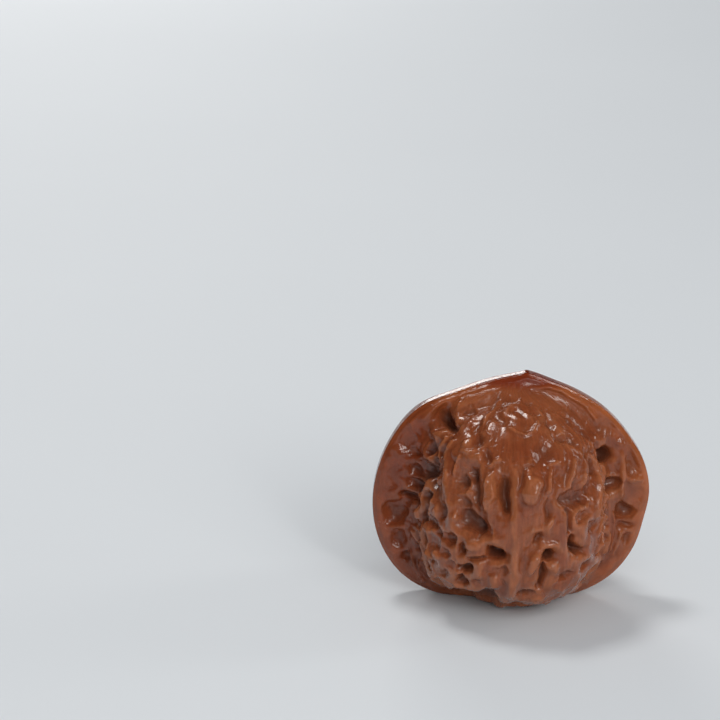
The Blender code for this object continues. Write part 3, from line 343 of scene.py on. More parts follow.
# Hollows with a clear edge and a round bottom, drawn in the same way.
FRONT_HOLLOWS = [
    (1.15, 1, [(-2.4, 26.9), (-1.5, 26.7), (-1, 25.1), (-1, 22.6), (-1.3, 20.9), (-2.3, 21), (-2.8, 23.1),
        (-2.8, 25.1)]),
    (0.9, 1.6, [(-9.7, 19.8), (-9.2, 20.7), (-8.2, 20.95), (-7.1, 20.6), (-6.1, 19.7), (-5.4, 18.5),
        (-5.2, 17.4), (-6.1, 16.9), (-7.2, 17.2), (-8.7, 17.4), (-9.6, 18.2)]),
    (0.9, 0.6, [(-6.9, 20.1), (-6.1, 19.6), (-5.4, 18.4), (-5.3, 17.4), (-6.1, 17), (-6.8, 17.5),
        (-7, 18.6)]),
    (0.7, 0.5, [(-9.7, 19.8), (-9.1, 20.7), (-8, 20.8), (-8.1, 19.6), (-9.2, 19.2)]),
    (1.8, 1, [(-4.9, 14.3), (-4.6, 15.2), (-4, 15.25), (-3.2, 14.8), (-2.4, 14.5), (-2, 13.9), (-2, 13.1),
        (-3, 12.7), (-4, 12.9), (-4.8, 13.2)]),
    (1.7, 0.7, [(4.8, 12.7), (4.7, 13.6), (5.1, 14.2), (5.8, 14.1), (6.3, 13.5), (6.2, 12.6),
        (5.5, 12.3)]),
    (1.4, 0.5, [(4.4, 11.8), (4.7, 11.9), (4.95, 11), (5.05, 9.5), (4.8, 8.3), (4.3, 6.8), (3.7, 6.7),
        (3.7, 7.4), (4.1, 8.4), (4.4, 9.4), (4.45, 10.4)]),
    (1.9, 0.8, [(9.1, 16.1), (9.6, 15.7), (10, 14.7), (10.7, 13.8), (11.3, 13), (11.1, 12.4),
        (10.4, 12.1), (9.8, 12.9), (9.4, 13.9), (9, 14.9)]),
    (1, 0.6, [(8.2, 20.8), (8.8, 20.9), (9.2, 20.2), (9.2, 18.5), (9.3, 16.9), (8.5, 16.7), (8.3, 18.5)]),
    (0.8, 0.9, [(9.8, 19.2), (10.5, 20), (11.8, 19.7), (12.2, 19), (11.4, 18.2), (10.2, 18)]),
    (0.9, 1.7, [(6.8, 22.5), (7.6, 23.2), (8.6, 23.4), (10, 23.2), (11.2, 23), (12, 22.5), (12.3, 21.4),
        (11.8, 20.4), (10.4, 20.3), (9.3, 20.6), (8.2, 21.4), (7.2, 21.9)]),
    (0.7, 1.1, [(4.6, 21), (4.6, 22.6), (5.2, 23), (5.8, 22.6), (5.9, 21), (5.6, 19.7), (4.8, 19.4)]),
    (0.72, 0.8, [(9.1, 23.4), (9.2, 24.8), (9.9, 25.1), (10.7, 24.4), (10.8, 23.4), (10, 23.1)]),
    (0.32, 0.6, [(1.5, 26.4), (2.4, 27), (3.1, 26.7), (2.5, 26.1)]),
    (0.58, 0.74, [(11.8, 22), (12.1, 26.6), (12.8, 26.8), (13, 24), (12.6, 21.8)]),
    (0.58, 0.6, [(13.9, 18.2), (14.1, 21.9), (14.7, 21.8), (14.6, 19), (14.3, 17.6)]),
    (0.44, 0.6, [(10.5, 25.6), (10.9, 28.2), (11.6, 28.2), (11.4, 25.6)]),
    (0.65, 0.63, [(12, 16.1), (12.2, 17.4), (13, 17.7), (13.3, 16.6), (12.7, 15.6)]),
    (1.07, 0.74, [(10.7, 8.9), (11.1, 10.2), (12.3, 10.3), (12.5, 9.2), (11.5, 8.5)]),
    (0.89, 0.7, [(7.2, 8.2), (7.4, 9.3), (8.6, 9.6), (9.4, 9), (8.6, 8.2)]),
    (1.2, 0.7, [(0.3, 5.9), (0.5, 6.8), (1.5, 6.7), (2.8, 6.5), (3.2, 6), (2.2, 5.4), (1, 5.2)]),
    (0.5, 0.9, [(-0.6, 3.2), (0.1, 4.3), (0.8, 4), (1.5, 3.1), (2.3, 2.2), (0.9, 1), (-0.4, 1.5)]),
    (0.62, 0.6, [(-2.3, 11.2), (-1.7, 11.7), (-1.2, 11), (-1.7, 10.2)]),
    (0.54, 0.6, [(-4.2, 10.6), (-3.4, 11.5), (-2.5, 11.1), (-2.8, 10)]),
    (0.5, 0.9, [(-7.3, 8.2), (-6.4, 9), (-5.3, 8.6), (-5.4, 7.6), (-6.6, 7.4)]),
    (0.75, 1, [(-7.8, 26.9), (-7.3, 27.6), (-6.4, 27.3), (-6.1, 26.3), (-6.2, 25.2), (-7, 24.8),
        (-7.6, 25.6)]),
    (0.6, 0.9, [(-7.2, 25.4), (-6.3, 25.2), (-6.1, 23.5), (-6.3, 21.9), (-7, 22.1), (-7.3, 23.8)]),
    (0.65, 1, [(-9.7, 25), (-9.3, 26.1), (-8.5, 26.3), (-7.9, 25.5), (-8, 24.5), (-8.9, 24.2)]),
    (0.6, 0.8, [(-9.4, 22.3), (-8.5, 22.6), (-7.9, 21.8), (-8.3, 21), (-9.2, 21)]),
    (0.8, 1, [(-5.7, 28.5), (-5.4, 29.7), (-4.7, 30.1), (-3.9, 29.5), (-3.9, 28.5), (-4.8, 28.1)]),
    (0.9, 1, [(-7, 30.9), (-6.8, 31.9), (-6.1, 32.2), (-5.4, 31.6), (-5.5, 30.7), (-6.3, 30.4)]),
    (1.5, 0.7, [(-9.6, 7.2), (-9.4, 8.6), (-8.7, 9), (-8, 8.5), (-7.8, 7.2), (-8.5, 6.6)]),
    (1.5, 0.6, [(-9.5, 9.9), (-9.2, 10.7), (-8.4, 10.8), (-7.8, 11.2), (-7, 11.1), (-7.1, 10.2),
        (-7.8, 9.8), (-8.6, 9.4)]),
    (0.5, 0.8, [(-11.1, 10.4), (-10.7, 11.3), (-10, 11.3), (-9.7, 10.5), (-10.3, 9.8)]),
    (0.5, 0.8, [(-12.2, 12.1), (-11.8, 13), (-11, 13.1), (-10.5, 12.4), (-11, 11.7)]),
    (1.01, 0.63, [(-9.3, 13.1), (-9.4, 14.5), (-8.8, 15), (-8.2, 14.3), (-8.3, 13.2)]),
    (0.8, 0.9, [(-11.7, 14.8), (-11.4, 15.9), (-10.6, 16.2), (-9.9, 15.5), (-10, 14.5), (-10.8, 14.2)]),
    (0.75, 1.2, [(-14.3, 13), (-14.2, 14.5), (-13.5, 15.2), (-12.7, 14.7), (-12.2, 13.4), (-12.4, 12.3),
        (-13.4, 12)]),
    (0.6, 0.7, [(-13.2, 15.3), (-12.8, 16.1), (-12.1, 15.9), (-12.1, 15.1), (-12.7, 14.8)]),
    (0.7, 1, [(-15.2, 16.1), (-15.1, 17.3), (-14.2, 17.7), (-13.1, 17.3), (-12.9, 16.3), (-14, 15.7)]),
    (0.65, 1.2, [(-14.2, 20.6), (-14.3, 22.5), (-13.6, 23.4), (-12.6, 23.1), (-12.2, 21.6),
        (-12.6, 20.2)]),
    (0.87, 0.6, [(-12.4, 18.2), (-12.5, 20.4), (-12, 20.8), (-11.6, 20), (-11.7, 18.4)]),
    (0.4, 0.8, [(-13.1, 24.7), (-13, 27.1), (-12.4, 27.7), (-11.8, 26.6), (-11.9, 24.9)]),
    (0.5, 0.8, [(-14, 26.2), (-14, 28.5), (-13.3, 29.4), (-12.9, 28.2), (-13.2, 26.3), (-13.7, 25.4)]),
    (0.45, 0.7, [(-11.4, 26.2), (-11.1, 27.9), (-10.4, 28.9), (-10.1, 27.8), (-10.5, 26)]),
    (0.5, 0.7, [(-14.6, 10.5), (-14.3, 11.2), (-13.3, 10.4), (-12.7, 9.7), (-13.4, 9.3), (-14.2, 9.8)]),
    (0.6, 0.8, [(-12.2, 7.6), (-12, 8.8), (-11.2, 9.2), (-10.6, 8.4), (-11.2, 7.5)]),
    (1.5, 0.9, [(-16.2, 23.6), (-15.6, 25), (-14.8, 25.6), (-14, 25.1), (-14.1, 24.2), (-15, 23.3),
        (-15.8, 22.8)]),
    (1.08, 0.62, [(-16.9, 22), (-17, 23.3), (-16.2, 24), (-15.8, 23), (-16.1, 21.9)]),
    (1.08, 0.7, [(-17.2, 20), (-17.3, 21.2), (-16.6, 21.9), (-15.9, 21.3), (-16, 20)]),
    (1.2, 0.5, [(-18.3, 18.2), (-18, 18.8), (-17, 18.9), (-16.2, 18.5), (-16.3, 17.9), (-17.3, 17.8)]),
    (0.65, 0.6, [(-16.5, 14.2), (-16.4, 15.2), (-15.9, 15.4), (-15.7, 14.3), (-16.1, 13.7)]),
    (2.3, 0.7, [(14.8, 25.9), (14.9, 26.7), (15.5, 26.9), (16, 26.1), (16.3, 25.2), (16, 24.5),
        (15.4, 24.8)]),
    (0.7, 0.9, [(15.6, 24.5), (16.2, 24.8), (17, 23.3), (17.3, 22.4), (16.7, 21.8), (15.9, 23.1)]),
    (1.1, 0.8, [(15.8, 20.1), (16, 21.2), (16.8, 21.6), (17.7, 21.3), (18.2, 20.4), (17.7, 19.5),
        (16.6, 19.3)]),
    (1.43, 0.73, [(14, 10.4), (14.4, 11.4), (15.2, 11.8), (15.9, 11.3), (15.6, 10.4), (14.7, 10)]),
    (1, 2.1, [(-21.5, 15), (-21.2, 16.5), (-20.4, 17.3), (-19.2, 17.3), (-18.1, 17.2), (-17.4, 16.2),
        (-17.4, 14.4), (-18, 13.2), (-19.2, 12.7), (-20.5, 13), (-21.3, 13.9)]),
    (0.75, 1.7, [(-20.1, 10.2), (-19.9, 11.7), (-19, 12.3), (-17.9, 12), (-17.5, 10.4), (-17.9, 9),
        (-19.1, 8.8)]),
    (0.71, 0.71, [(-18.4, 7), (-18.1, 8), (-17.2, 8.2), (-16.5, 7.4), (-17.1, 6.5)]),
    (0.58, 0.6, [(-16.9, 25.1), (-17, 26.4), (-16, 26.7), (-15.6, 25.7)]),
    (1, 1.2, [(17.5, 14.7), (17.6, 16.5), (18.2, 17.1), (19.2, 16.6), (20.5, 16), (21, 15.2),
        (20.2, 14.4), (18.8, 14.1)]),
    (0.6, 0.4, [(17.8, 13.1), (18.2, 13.6), (19.1, 13.3), (20.2, 12.9), (20.1, 12.6), (18.9, 12.7)]),
    (0.54, 0.67, [(18.6, 10.2), (18.9, 11.6), (19.9, 11.4), (19.8, 10), (19, 9.3)]),
    (1.2, 0.9, [(-12, 31.6), (-11.6, 32.6), (-10.8, 33), (-10.4, 32.3), (-9.8, 31.9), (-10.8, 31.3)]),
    (1.8, 1, [(-10.5, 2.5), (-9.5, 5.4), (-8, 5.8), (-6, 5.4), (-4.7, 6.6), (-3.5, 6.5), (-2.9, 4.5),
        (-2.7, 2.4), (-2.9, 0.6), (-6, 0.4), (-9.5, 0.6)]),
    (0.6, 0.4, [(-21, 16), (-20.5, 17), (-18.6, 17.2), (-17.6, 17.8), (-16.9, 17.9), (-17.4, 16.7),
        (-19.5, 16.2)]),
    (0.5, 0.35, [(6.9, 22.4), (7.6, 23.2), (8.6, 23.4), (10, 23.3), (11.4, 22.9), (10, 22.4),
        (8.4, 22.5)]),
    (0.6, 0.5, [(2.9, 15.9), (3.5, 17), (4.1, 17.3), (4.4, 16.6), (3.8, 15.8)]),
    (0.5, 0.5, [(6, 31.9), (6.8, 31.5), (7.8, 30.9), (8.2, 30.6), (7.6, 30.4), (6.4, 31)]),
]

# Lobes of the front: x, z, half length, half width, lean from upright in degrees, rise.
FRONT_LOBES = [
    (-0.3, 9.2, 5.6, 1.6, 0, 0.5), (2.4, 24.7, 2.8, 1.9, 6, 1.5), (-4.3, 24.1, 3.2, 1.2, 4, 0.8),
    (-6, 35, 4.6, 1.6, 64, 1), (6.1, 11.2, 1.6, 1.2, 0, 0.45), (3, 12.3, 2.4, 0.9, 14, 0.7),
    (5.4, 18.9, 1.4, 0.8, 25, 0.5), (1.6, 34, 2, 2.5, 0, 0.3), (-6.8, 15.4, 1.7, 1.1, 80, 0.6),
    (11.2, 16.4, 1.4, 1.1, 0, 0.25), (-6.3, 10.6, 2, 1, 0, 0.5), (-3.4, 9.4, 2.6, 1.1, 4, 0.5),
    (-9.6, 19.6, 1.2, 0.7, 0, 0.5), (-10.6, 29.6, 1.4, 1, 50, 0.4), (3.6, 4.6, 1.6, 1.2, 80, 0.5),
    (-13.2, 18.9, 1.2, 0.9, 0, 0.4), (15, 22.6, 1.2, 0.7, 0, 0.5), (-12.6, 11.6, 1.2, 0.8, 120, 0.6),
    (8.6, 31.6, 1.3, 0.7, 100, 0.4), (-13.4, 32.6, 2.2, 1.1, 50, 0.35), (-7.8, 30.6, 1.2, 0.9, 90, 0.3),
    (17.4, 28, 2.2, 0.8, -28, 0.3), (-14.4, 27.2, 2, 0.6, 25, 0.5), (-11.3, 26, 4, 1.1, 4, 0.35),
]

# Raised lines and grooves of the front: half width, rise, then points (x, z).
FRONT_LINES = [
    (0.9, 0.5, [(0.2, 29.5), (-0.3, 26), (-0.4, 23), (-0.5, 20), (-0.2, 17), (-0.1, 13), (-0.3, 9),
        (-0.8, 6.5), (-1, 4.8)]),
    (0.35, 0.6, [(-2.9, 27.4), (-4.2, 26.5), (-5.1, 25), (-5.4, 23.2), (-5.2, 21.8), (-4.3, 20.9)]),
    (0.4, 0.6, [(-1.9, 35.6), (-3.4, 34.6), (-4.5, 34), (-5.2, 33.2), (-6.8, 32.4)]),
    (0.3, 0.35, [(-9, 29.5), (-7.6, 29.4), (-6, 29.9)]),
    (0.3, 0.3, [(-11.6, 30), (-10.9, 30.6), (-10, 31)]),
    (0.35, 0.4, [(-1.8, 33), (-0.8, 32.8), (0.1, 32.4), (1.3, 32.2), (2.7, 32.4), (3.7, 33.1),
        (4, 33.9)]),
    (0.28, 0.5, [(2.4, 37), (4, 36.8), (5.8, 36.7), (8, 36.1), (9.5, 35.2), (10.8, 34.3), (12, 33.4),
        (13.5, 31.6), (14.2, 29.8)]),
    (0.25, 0.3, [(-8.7, 36.2), (-8.4, 34.8), (-8.8, 33)]),
    (0.3, 0.4, [(-13.4, 33.5), (-15.2, 32.2), (-16.4, 30.8), (-17, 29)]),
    (0.45, 0.25, [(-3, 37.5), (-6, 36.6), (-10, 35), (-13.5, 33), (-16, 30.2), (-17.8, 26.8)]),
    (1, 0.35, [(-10, 31.5), (-10.9, 28), (-11.2, 24), (-11, 21), (-10.3, 18), (-9.8, 15.5)]),
    (0.6, 0.25, [(-17.9, 24), (-17.7, 21), (-17.4, 19.3)]),
    (0.6, 0.6, [(5.8, 27.9), (5.3, 25), (5.2, 23.4)]),
    (0.6, 0.8, [(9.4, 28.6), (8.9, 25), (8.7, 23.6)]),
    (0.55, 0.8, [(12.6, 28.4), (13.5, 25), (13.6, 22), (13.2, 19), (12.8, 15.5)]),
    (0.3, 0.8, [(15.2, 21.4), (15, 18.8), (14.4, 16.4), (13.4, 14)]),
    (0.35, 0.8, [(15.9, 18), (15.4, 15.5), (14.2, 12.5), (13.2, 10)]),
    (0.35, 0.7, [(18.2, 12.2), (17.7, 9.5), (16.5, 7)]),
    (0.35, 0.6, [(16.4, 12.2), (15.9, 10.2), (15.1, 8)]),
    (0.45, 0.4, [(-20.2, 12.3), (-18.4, 12.9)]),
    (0.4, 0.35, [(19, 20.9), (20.5, 21.1), (22, 20.7)]),
    (0.5, 0.45, [(18, 26.5), (18.3, 23.5), (18.2, 20), (17.6, 17.5)]),
    (0.35, 0.9, [(-16.6, 9.6), (-16, 7.4), (-15.6, 5.4), (-15, 4), (-13.8, 2.7)]),
    (0.3, 0.6, [(-15.2, 7), (-14.9, 5.2), (-14, 3.8)]),
    (0.35, 0.8, [(-14.8, 12), (-13.6, 11.2), (-12.9, 10.5)]),
    (0.35, 0.8, [(-12.5, 7.6), (-12, 5)]),
    (0.5, 0.3, [(1.4, 17.6), (4, 17.9), (5.8, 17.3)]),
    (0.35, 0.45, [(-9.9, 22.9), (-8.6, 23.2), (-6.9, 23.8)]),
    (0.5, 0.25, [(4.4, 27.8), (5.8, 27.9), (7, 28.2)]),
    (0.3, 0.35, [(0.6, 26.1), (0.7, 24.3), (1.4, 23), (2.2, 22.6)]),
    (0.35, 0.35, [(9.8, 20.4), (11.2, 20.3), (12.4, 20.7)]),
    (0.3, 0.6, [(16.8, 16), (17, 13.5), (16.6, 10.5), (15.6, 7.8)]),
    (0.35, -1.1, [(-4.9, 13.1), (-6.4, 12.8), (-8.1, 12.2)]),
    (0.75, -0.6, [(4.4, 35.8), (5.2, 34.2), (5.9, 32.7), (7, 31.4), (8.6, 30.5), (11, 29.9)]),
    (0.5, 0.6, [(11.3, 28), (11, 25.6), (11.4, 23.4)]),
    (0.35, 0.5, [(-4.6, 27.6), (-3.6, 28.6), (-2.2, 29)]),
    (0.35, 0.5, [(-8.6, 29), (-9.8, 27.4), (-10.2, 25.4)]),
    (0.2, -0.4, [(0.7, 29), (0.5, 26), (0.4, 24.2)]),
    (0.3, -0.4, [(0.5, 24), (0.6, 26.2), (1.4, 27.7), (3, 28), (4.3, 26.8), (4.6, 24.9), (4.2, 23.1),
        (3.2, 22)]),
]


def smooth_max(a, b, width):
    h = np.clip(0.5 + 0.5 * (a - b) / width, 0.0, 1.0)
    return b + (a - b) * h + width * h * (1.0 - h)


def smooth_min(a, b, width):
    return -smooth_max(-a, -b, width)


def smooth_step(value, low, high):
    t = np.clip((value - low) / (high - low), 0.0, 1.0)
    return t * t * (3.0 - 2.0 * t)


def outline_radius(x, z):
    """Distance of the flange outline from its centre, in the direction of (x, z)."""
    outline = np.array(FLANGE_OUTLINE)
    angle = np.arctan2(outline[:, 0], outline[:, 1] - FLANGE_CENTRE_Z)
    radius = np.hypot(outline[:, 0], outline[:, 1] - FLANGE_CENTRE_Z)
    order = np.argsort(angle)
    angle = angle[order]
    radius = radius[order]
    turn = 2.0 * np.pi
    angles = np.concatenate([angle - turn, angle, angle + turn])
    radii = np.concatenate([radius, radius, radius])
    slopes = np.gradient(radii, angles)
    wanted = np.arctan2(x, z - FLANGE_CENTRE_Z)
    i = np.clip(np.searchsorted(angles, wanted) - 1, 0, len(angles) - 2)
    span = angles[i + 1] - angles[i]
    t = (wanted - angles[i]) / span
    start = (2 * t**3 - 3 * t**2 + 1) * radii[i] + (t**3 - 2 * t**2 + t) * span * slopes[i]
    end = (-2 * t**3 + 3 * t**2) * radii[i + 1] + (t**3 - t**2) * span * slopes[i + 1]
    return start + end


def rim_inset(x, z):
    """Distance in from the rim of the flange, below zero outside it."""
    return outline_radius(x, z) - np.hypot(x, z - FLANGE_CENTRE_Z)


def body_field(p):
    """Below zero inside the smooth nut, zero on its surface; millimetres."""
    x, y, z = p[..., 0], p[..., 1], p[..., 2]
    across = np.abs(x - BELLY_X) / BELLY_HALF_X
    deep = np.abs(y) / BELLY_HALF_Y
    rise = z - BELLY_Z
    tall = np.where(rise > 0, rise / BELLY_UP, -rise / BELLY_DOWN)
    level = (across**BELLY_ROUNDNESS + deep**BELLY_ROUNDNESS) ** (1 / BELLY_ROUNDNESS)
    power = np.where(rise > 0, BELLY_POWER_UP, BELLY_POWER_DOWN)
    belly = ((level**power + tall**power) ** (1 / power) - 1.0) * BELLY_SCALE
    inset = rim_inset(x, z)
    half = FLANGE_EDGE_HALF + FLANGE_FLARE * np.clip(inset, 0.0, FLANGE_FLARE_END)
    flange = smooth_max(-inset, np.abs(y) - half, FLANGE_ROUNDING)
    return smooth_min(belly, flange, FLANGE_FILLET)


def field_slope(p):
    """Slope of the body field along each axis."""
    slope = np.zeros_like(p)
    for axis in range(3):
        move = np.zeros(3)
        move[axis] = SLOPE_STEP
        slope[..., axis] = (body_field(p + move) - body_field(p - move)) / (2 * SLOPE_STEP)
    return slope


def normals_at(p):
    slope = field_slope(p)
    return slope / np.maximum(np.linalg.norm(slope, axis=-1, keepdims=True), 1e-9)


def settle(p, rounds):
    """Points moved onto the smooth surface."""
    for _ in range(rounds):
        slope = field_slope(p)
        size = np.maximum((slope**2).sum(axis=-1, keepdims=True), LEAST_SLOPE_SQUARED)
        p = p - np.clip(body_field(p)[..., None] * slope / size, -LONGEST_MOVE, LONGEST_MOVE)
    return p


def front_points(x, z):
    """Points of the smooth surface straight in front of (x, z) in the seam plane."""
    x, z = np.broadcast_arrays(np.asarray(x, dtype=float), np.asarray(z, dtype=float))
    near = np.full(x.shape, FRONT_START)
    far = np.zeros(x.shape)
    for _ in range(FRONT_HALVINGS):
        middle = 0.5 * (near + far)
        outside = body_field(np.stack([x, middle, z], axis=-1)) > 0
        near = np.where(outside, middle, near)
        far = np.where(outside, far, middle)
    return np.stack([x, far, z], axis=-1)


def lumps(p, size, seed):
    """Smooth noise, about -1 to 1, with lumps of the given size in millimetres."""
    table = np.random.RandomState(seed).uniform(-1.0, 1.0, NOISE_VALUES)
    cell = p / size + NOISE_START
    base = np.floor(cell).astype(np.int64)
    part = cell - base
    fade = part * part * part * (part * (part * 6.0 - 15.0) + 10.0)
    total = np.zeros(len(p))
    for i in (0, 1):
        for j in (0, 1):
            for k in (0, 1):
                key = (base[:, 0] + i) * NOISE_PRIMES[0]
                key = key ^ ((base[:, 1] + j) * NOISE_PRIMES[1])
                key = key ^ ((base[:, 2] + k) * NOISE_PRIMES[2])
                share = np.where(i, fade[:, 0], 1 - fade[:, 0])
                share = share * np.where(j, fade[:, 1], 1 - fade[:, 1])
                share = share * np.where(k, fade[:, 2], 1 - fade[:, 2])
                total += share * table[(key >> 3) % NOISE_VALUES]
    return total


Mark = namedtuple("Mark", "centre normal along across half_length half_width height")


def make_mark(centre, normal, lean, half_length, half_width, height):
    """One oval on the surface; its long axis leans by an angle from upright."""
    angle = np.radians(lean)
    along = np.array([np.sin(angle), 0.0, np.cos(angle)])
    along = along - normal * along.dot(normal)
    along = along / max(np.linalg.norm(along), 1e-6)
    return Mark(centre, normal, along, np.cross(normal, along), half_length, half_width, height)


def front_marks(rows):
    marks = []
    for x, z, half_length, half_width, lean, height in rows:
        centre = front_points(x, z)
        marks.append(make_mark(centre, normals_at(centre), lean, half_length, half_width, height))
    return marks


def side_point(turn, z):
    """Point of the smooth surface seen from the upright axis in one direction."""
    base = np.array([BELLY_X, 0.0, z])
    ray = np.array([np.sin(turn), np.cos(turn), 0.0])
    near, far = SIDE_NEAR, SIDE_FAR
    for _ in range(SIDE_HALVINGS):
        middle = 0.5 * (near + far)
        if body_field(base + middle * ray) < 0:
            near = middle
        else:
            far = middle
    return base + near * ray


def is_clear(mark, others):
    """Whether a mark lies apart from all the others."""
    for other in others:
        offset = mark.centre - other.centre
        u = offset.dot(other.along) / (other.half_length + CLEAR_LENGTH * mark.half_length + PIT_GAP)
        v = offset.dot(other.across) / (other.half_width + CLEAR_WIDTH * mark.half_width + PIT_GAP)
        w = offset.dot(other.normal) / CLEAR_DEPTH
        if u * u + v * v + w * w < 1.0:
            return False
    return True


def flange_mark(rng):
    """A pit of the flange, at random on its front or back, or none where the belly is."""
    turn = rng.uniform(-np.pi, np.pi)
    outer = outline_radius(np.sin(turn), np.cos(turn) + FLANGE_CENTRE_Z)
    radius = outer - rng.uniform(*FLANGE_PIT_INSET)
    centre = front_points(radius * np.sin(turn), FLANGE_CENTRE_Z + radius * np.cos(turn))
    if centre[1] < FLANGE_PIT_FRONT:
        return None
    centre[1] *= rng.choice([-1.0, 1.0])
    lean = np.degrees(turn) + rng.uniform(-FLANGE_PIT_LEAN, FLANGE_PIT_LEAN)
    half_length = rng.uniform(*FLANGE_PIT_LENGTH)
    half_width = rng.uniform(*FLANGE_PIT_WIDTH)
    depth = rng.uniform(*FLANGE_PIT_DEPTH) * smooth_step(centre[2], *FLANGE_PIT_LEVELS)
    depth += FLANGE_PIT_LEAST
    return make_mark(centre, normals_at(centre), lean, half_length, half_width, depth)


def belly_mark(rng):
    """A pit of the belly, at random, or none where the seam is."""
    centre = side_point(rng.uniform(-np.pi, np.pi), rng.uniform(*BELLY_PIT_LEVELS))
    if abs(centre[1]) < BELLY_PIT_SEAM:
        return None
    top = smooth_step(centre[2], *BELLY_PIT_TOP)
    half_length = rng.uniform(*BELLY_PIT_LENGTH)
    half_width = rng.uniform(*BELLY_PIT_WIDTH)
    depth = rng.uniform(*BELLY_PIT_DEPTH) * (1.0 - BELLY_PIT_CALM * top)
    lean = rng.uniform(-BELLY_PIT_LEAN, BELLY_PIT_LEAN)
    return make_mark(centre, normals_at(centre), lean, half_length, half_width, depth)


def scattered_marks():
    """Pits of the belly's flanks and underside, at random but clear of each other."""
    rng = np.random.RandomState(SCATTER_SEED)
    marks = []
    for _ in range(SCATTER_TRIES):
        mark = flange_mark(rng) if rng.rand() < FLANGE_SHARE else belly_mark(rng)
        if mark is None:
            continue
        if abs(mark.normal[1]) > SIDE_FACING and mark.centre[2] > UNDERSIDE:
            continue
        if is_clear(mark, marks):
            marks.append(mark)
    return marks


def reach_to(mark, p, facing, squareness):
    """Points near a mark and their distance from its middle, one at its edge."""
    limit = MARK_REACH * max(mark.half_length, mark.half_width)
    near = np.flatnonzero(((p - mark.centre) ** 2).sum(axis=1) < limit**2)
    near = near[facing[near] @ mark.normal > LEAST_FACING]
    offset = p[near] - mark.centre
    u = np.abs(offset @ mark.along) / mark.half_length
    v = np.abs(offset @ mark.across) / mark.half_width
    return near, (u**squareness + v**squareness) ** (1 / squareness)


def pit_depth(marks, p, facing):
    """Joined depth of oval pits, and of the broader sag around each."""
    deep = np.zeros(len(p))
    broad = np.zeros(len(p))
    for mark in marks:
        near, reach = reach_to(mark, p, facing, PIT_SQUARENESS)
        deep[near] += (mark.height * bowl(-reach, *PIT_WALL)) ** PIT_JOINING
        broad[near] += (mark.height * smooth_step(reach, *PIT_SAG)) ** PIT_JOINING
    return deep ** (1 / PIT_JOINING) + SAG * broad ** (1 / PIT_JOINING)


def bowl(value, low, high):
    """Zero to one with a clear edge and a round bottom."""
    t = np.clip((value - low) / (high - low), 0.0, 1.0)
    t = np.sqrt(t * t + BOWL_EDGE**2) - BOWL_EDGE
    t = np.minimum(t / (np.sqrt(1.0 + BOWL_EDGE**2) - BOWL_EDGE), 1.0)
    return t * (2.0 - t)


def outline_depth(x, z, outline):
    """Distance inside a closed outline, below zero outside it."""
    corners = np.array(outline)
    inside = np.zeros(len(x), dtype=bool)
    gap = np.full(len(x), FAR)
    for (x0, z0), (x1, z1) in zip(corners, np.roll(corners, -1, axis=0)):
        dx, dz = x1 - x0, z1 - z0
        t = np.clip(((x - x0) * dx + (z - z0) * dz) / (dx * dx + dz * dz), 0.0, 1.0)
        gap = np.minimum(gap, np.hypot(x - x0 - t * dx, z - z0 - t * dz))
        if z0 != z1:
            crossed = ((z0 > z) != (z1 > z)) & (x < x0 + (z - z0) * dx / dz)
            inside ^= crossed
    return np.where(inside, gap, -gap)


def hollow_depth(rows, reach, profile, p, facing):
    """Joined depth of drawn outlines; reach is how far a hollow goes past its outline."""
    total = np.zeros(len(p))
    front = np.flatnonzero(facing[:, 1] < FRONT_LIMIT)
    for depth, wall, outline in rows:
        xs, zs = np.array(outline).T
        x, z = p[front, 0], p[front, 2]
        near = (x > xs.min() - reach) & (x < xs.max() + reach)
        near &= (z > zs.min() - reach) & (z < zs.max() + reach)
        near = front[near]
        inner = outline_depth(p[near, 0], p[near, 2], outline)
        total[near] += (depth * profile(inner, -reach, wall)) ** PIT_JOINING
    return total ** (1 / PIT_JOINING)


def lobe_rise(marks, p, facing):
    """Height of the oval lobes; the higher one where two meet."""
    total = np.zeros(len(p))
    for mark in marks:
        near, reach = reach_to(mark, p, facing, LOBE_SQUARENESS)
        rise = mark.height * smooth_step(reach, LOBE_FOOT, LOBE_TOP)
        total[near] = np.maximum(total[near], rise)
    return total


def line_rise(rows, p, facing):
    """Height of the raised lines of the front, below zero in its grooves."""
    raised = np.zeros(len(p))
    sunk = np.zeros(len(p))
    for half_width, rise, points in rows:
        steps = np.arange(len(points))
        places = np.linspace(0.0, len(points) - 1.0, LINE_STEPS * (len(points) - 1) + 1)
        xs = np.interp(places, steps, [point[0] for point in points])
        zs = np.interp(places, steps, [point[1] for point in points])
        line = front_points(xs, zs)
        middle = line.mean(axis=0)
        span = np.linalg.norm(line - middle, axis=1).max() + LINE_SPAN * half_width
        within = ((p - middle) ** 2).sum(axis=1) < span**2
        near = np.flatnonzero(within & (facing[:, 1] < LINE_LIMIT))
        gap = np.full(len(near), FAR)
        place = np.zeros(len(near))
        for count, (start, end) in enumerate(zip(line[:-1], line[1:])):
            part = end - start
            offset = p[near] - start
            t = np.clip(offset @ part / part.dot(part), 0.0, 1.0)
            distance = np.linalg.norm(offset - t[:, None] * part, axis=1)
            place = np.where(distance < gap, count + t, place)
            gap = np.minimum(gap, distance)
        share = place / (len(line) - 1.0)
        height = rise * np.exp(-((gap / half_width) ** 2))
        height *= smooth_step(np.minimum(share, 1.0 - share), 0.0, LINE_FADE)
        raised[near] = np.maximum(raised[near], height)
        sunk[near] = np.minimum(sunk[near], height)
    return raised + sunk


def fibre_place(p):
    """Points spread over a cylinder, so that noise runs in lines from tip to stem."""
    turn = np.arctan2(p[:, 0] - BELLY_X, p[:, 1])
    around = [FIBRE_RADIUS * np.sin(turn), FIBRE_RADIUS * np.cos(turn)]
    return np.stack(around + [FIBRE_STRETCH * p[:, 2]], axis=1)


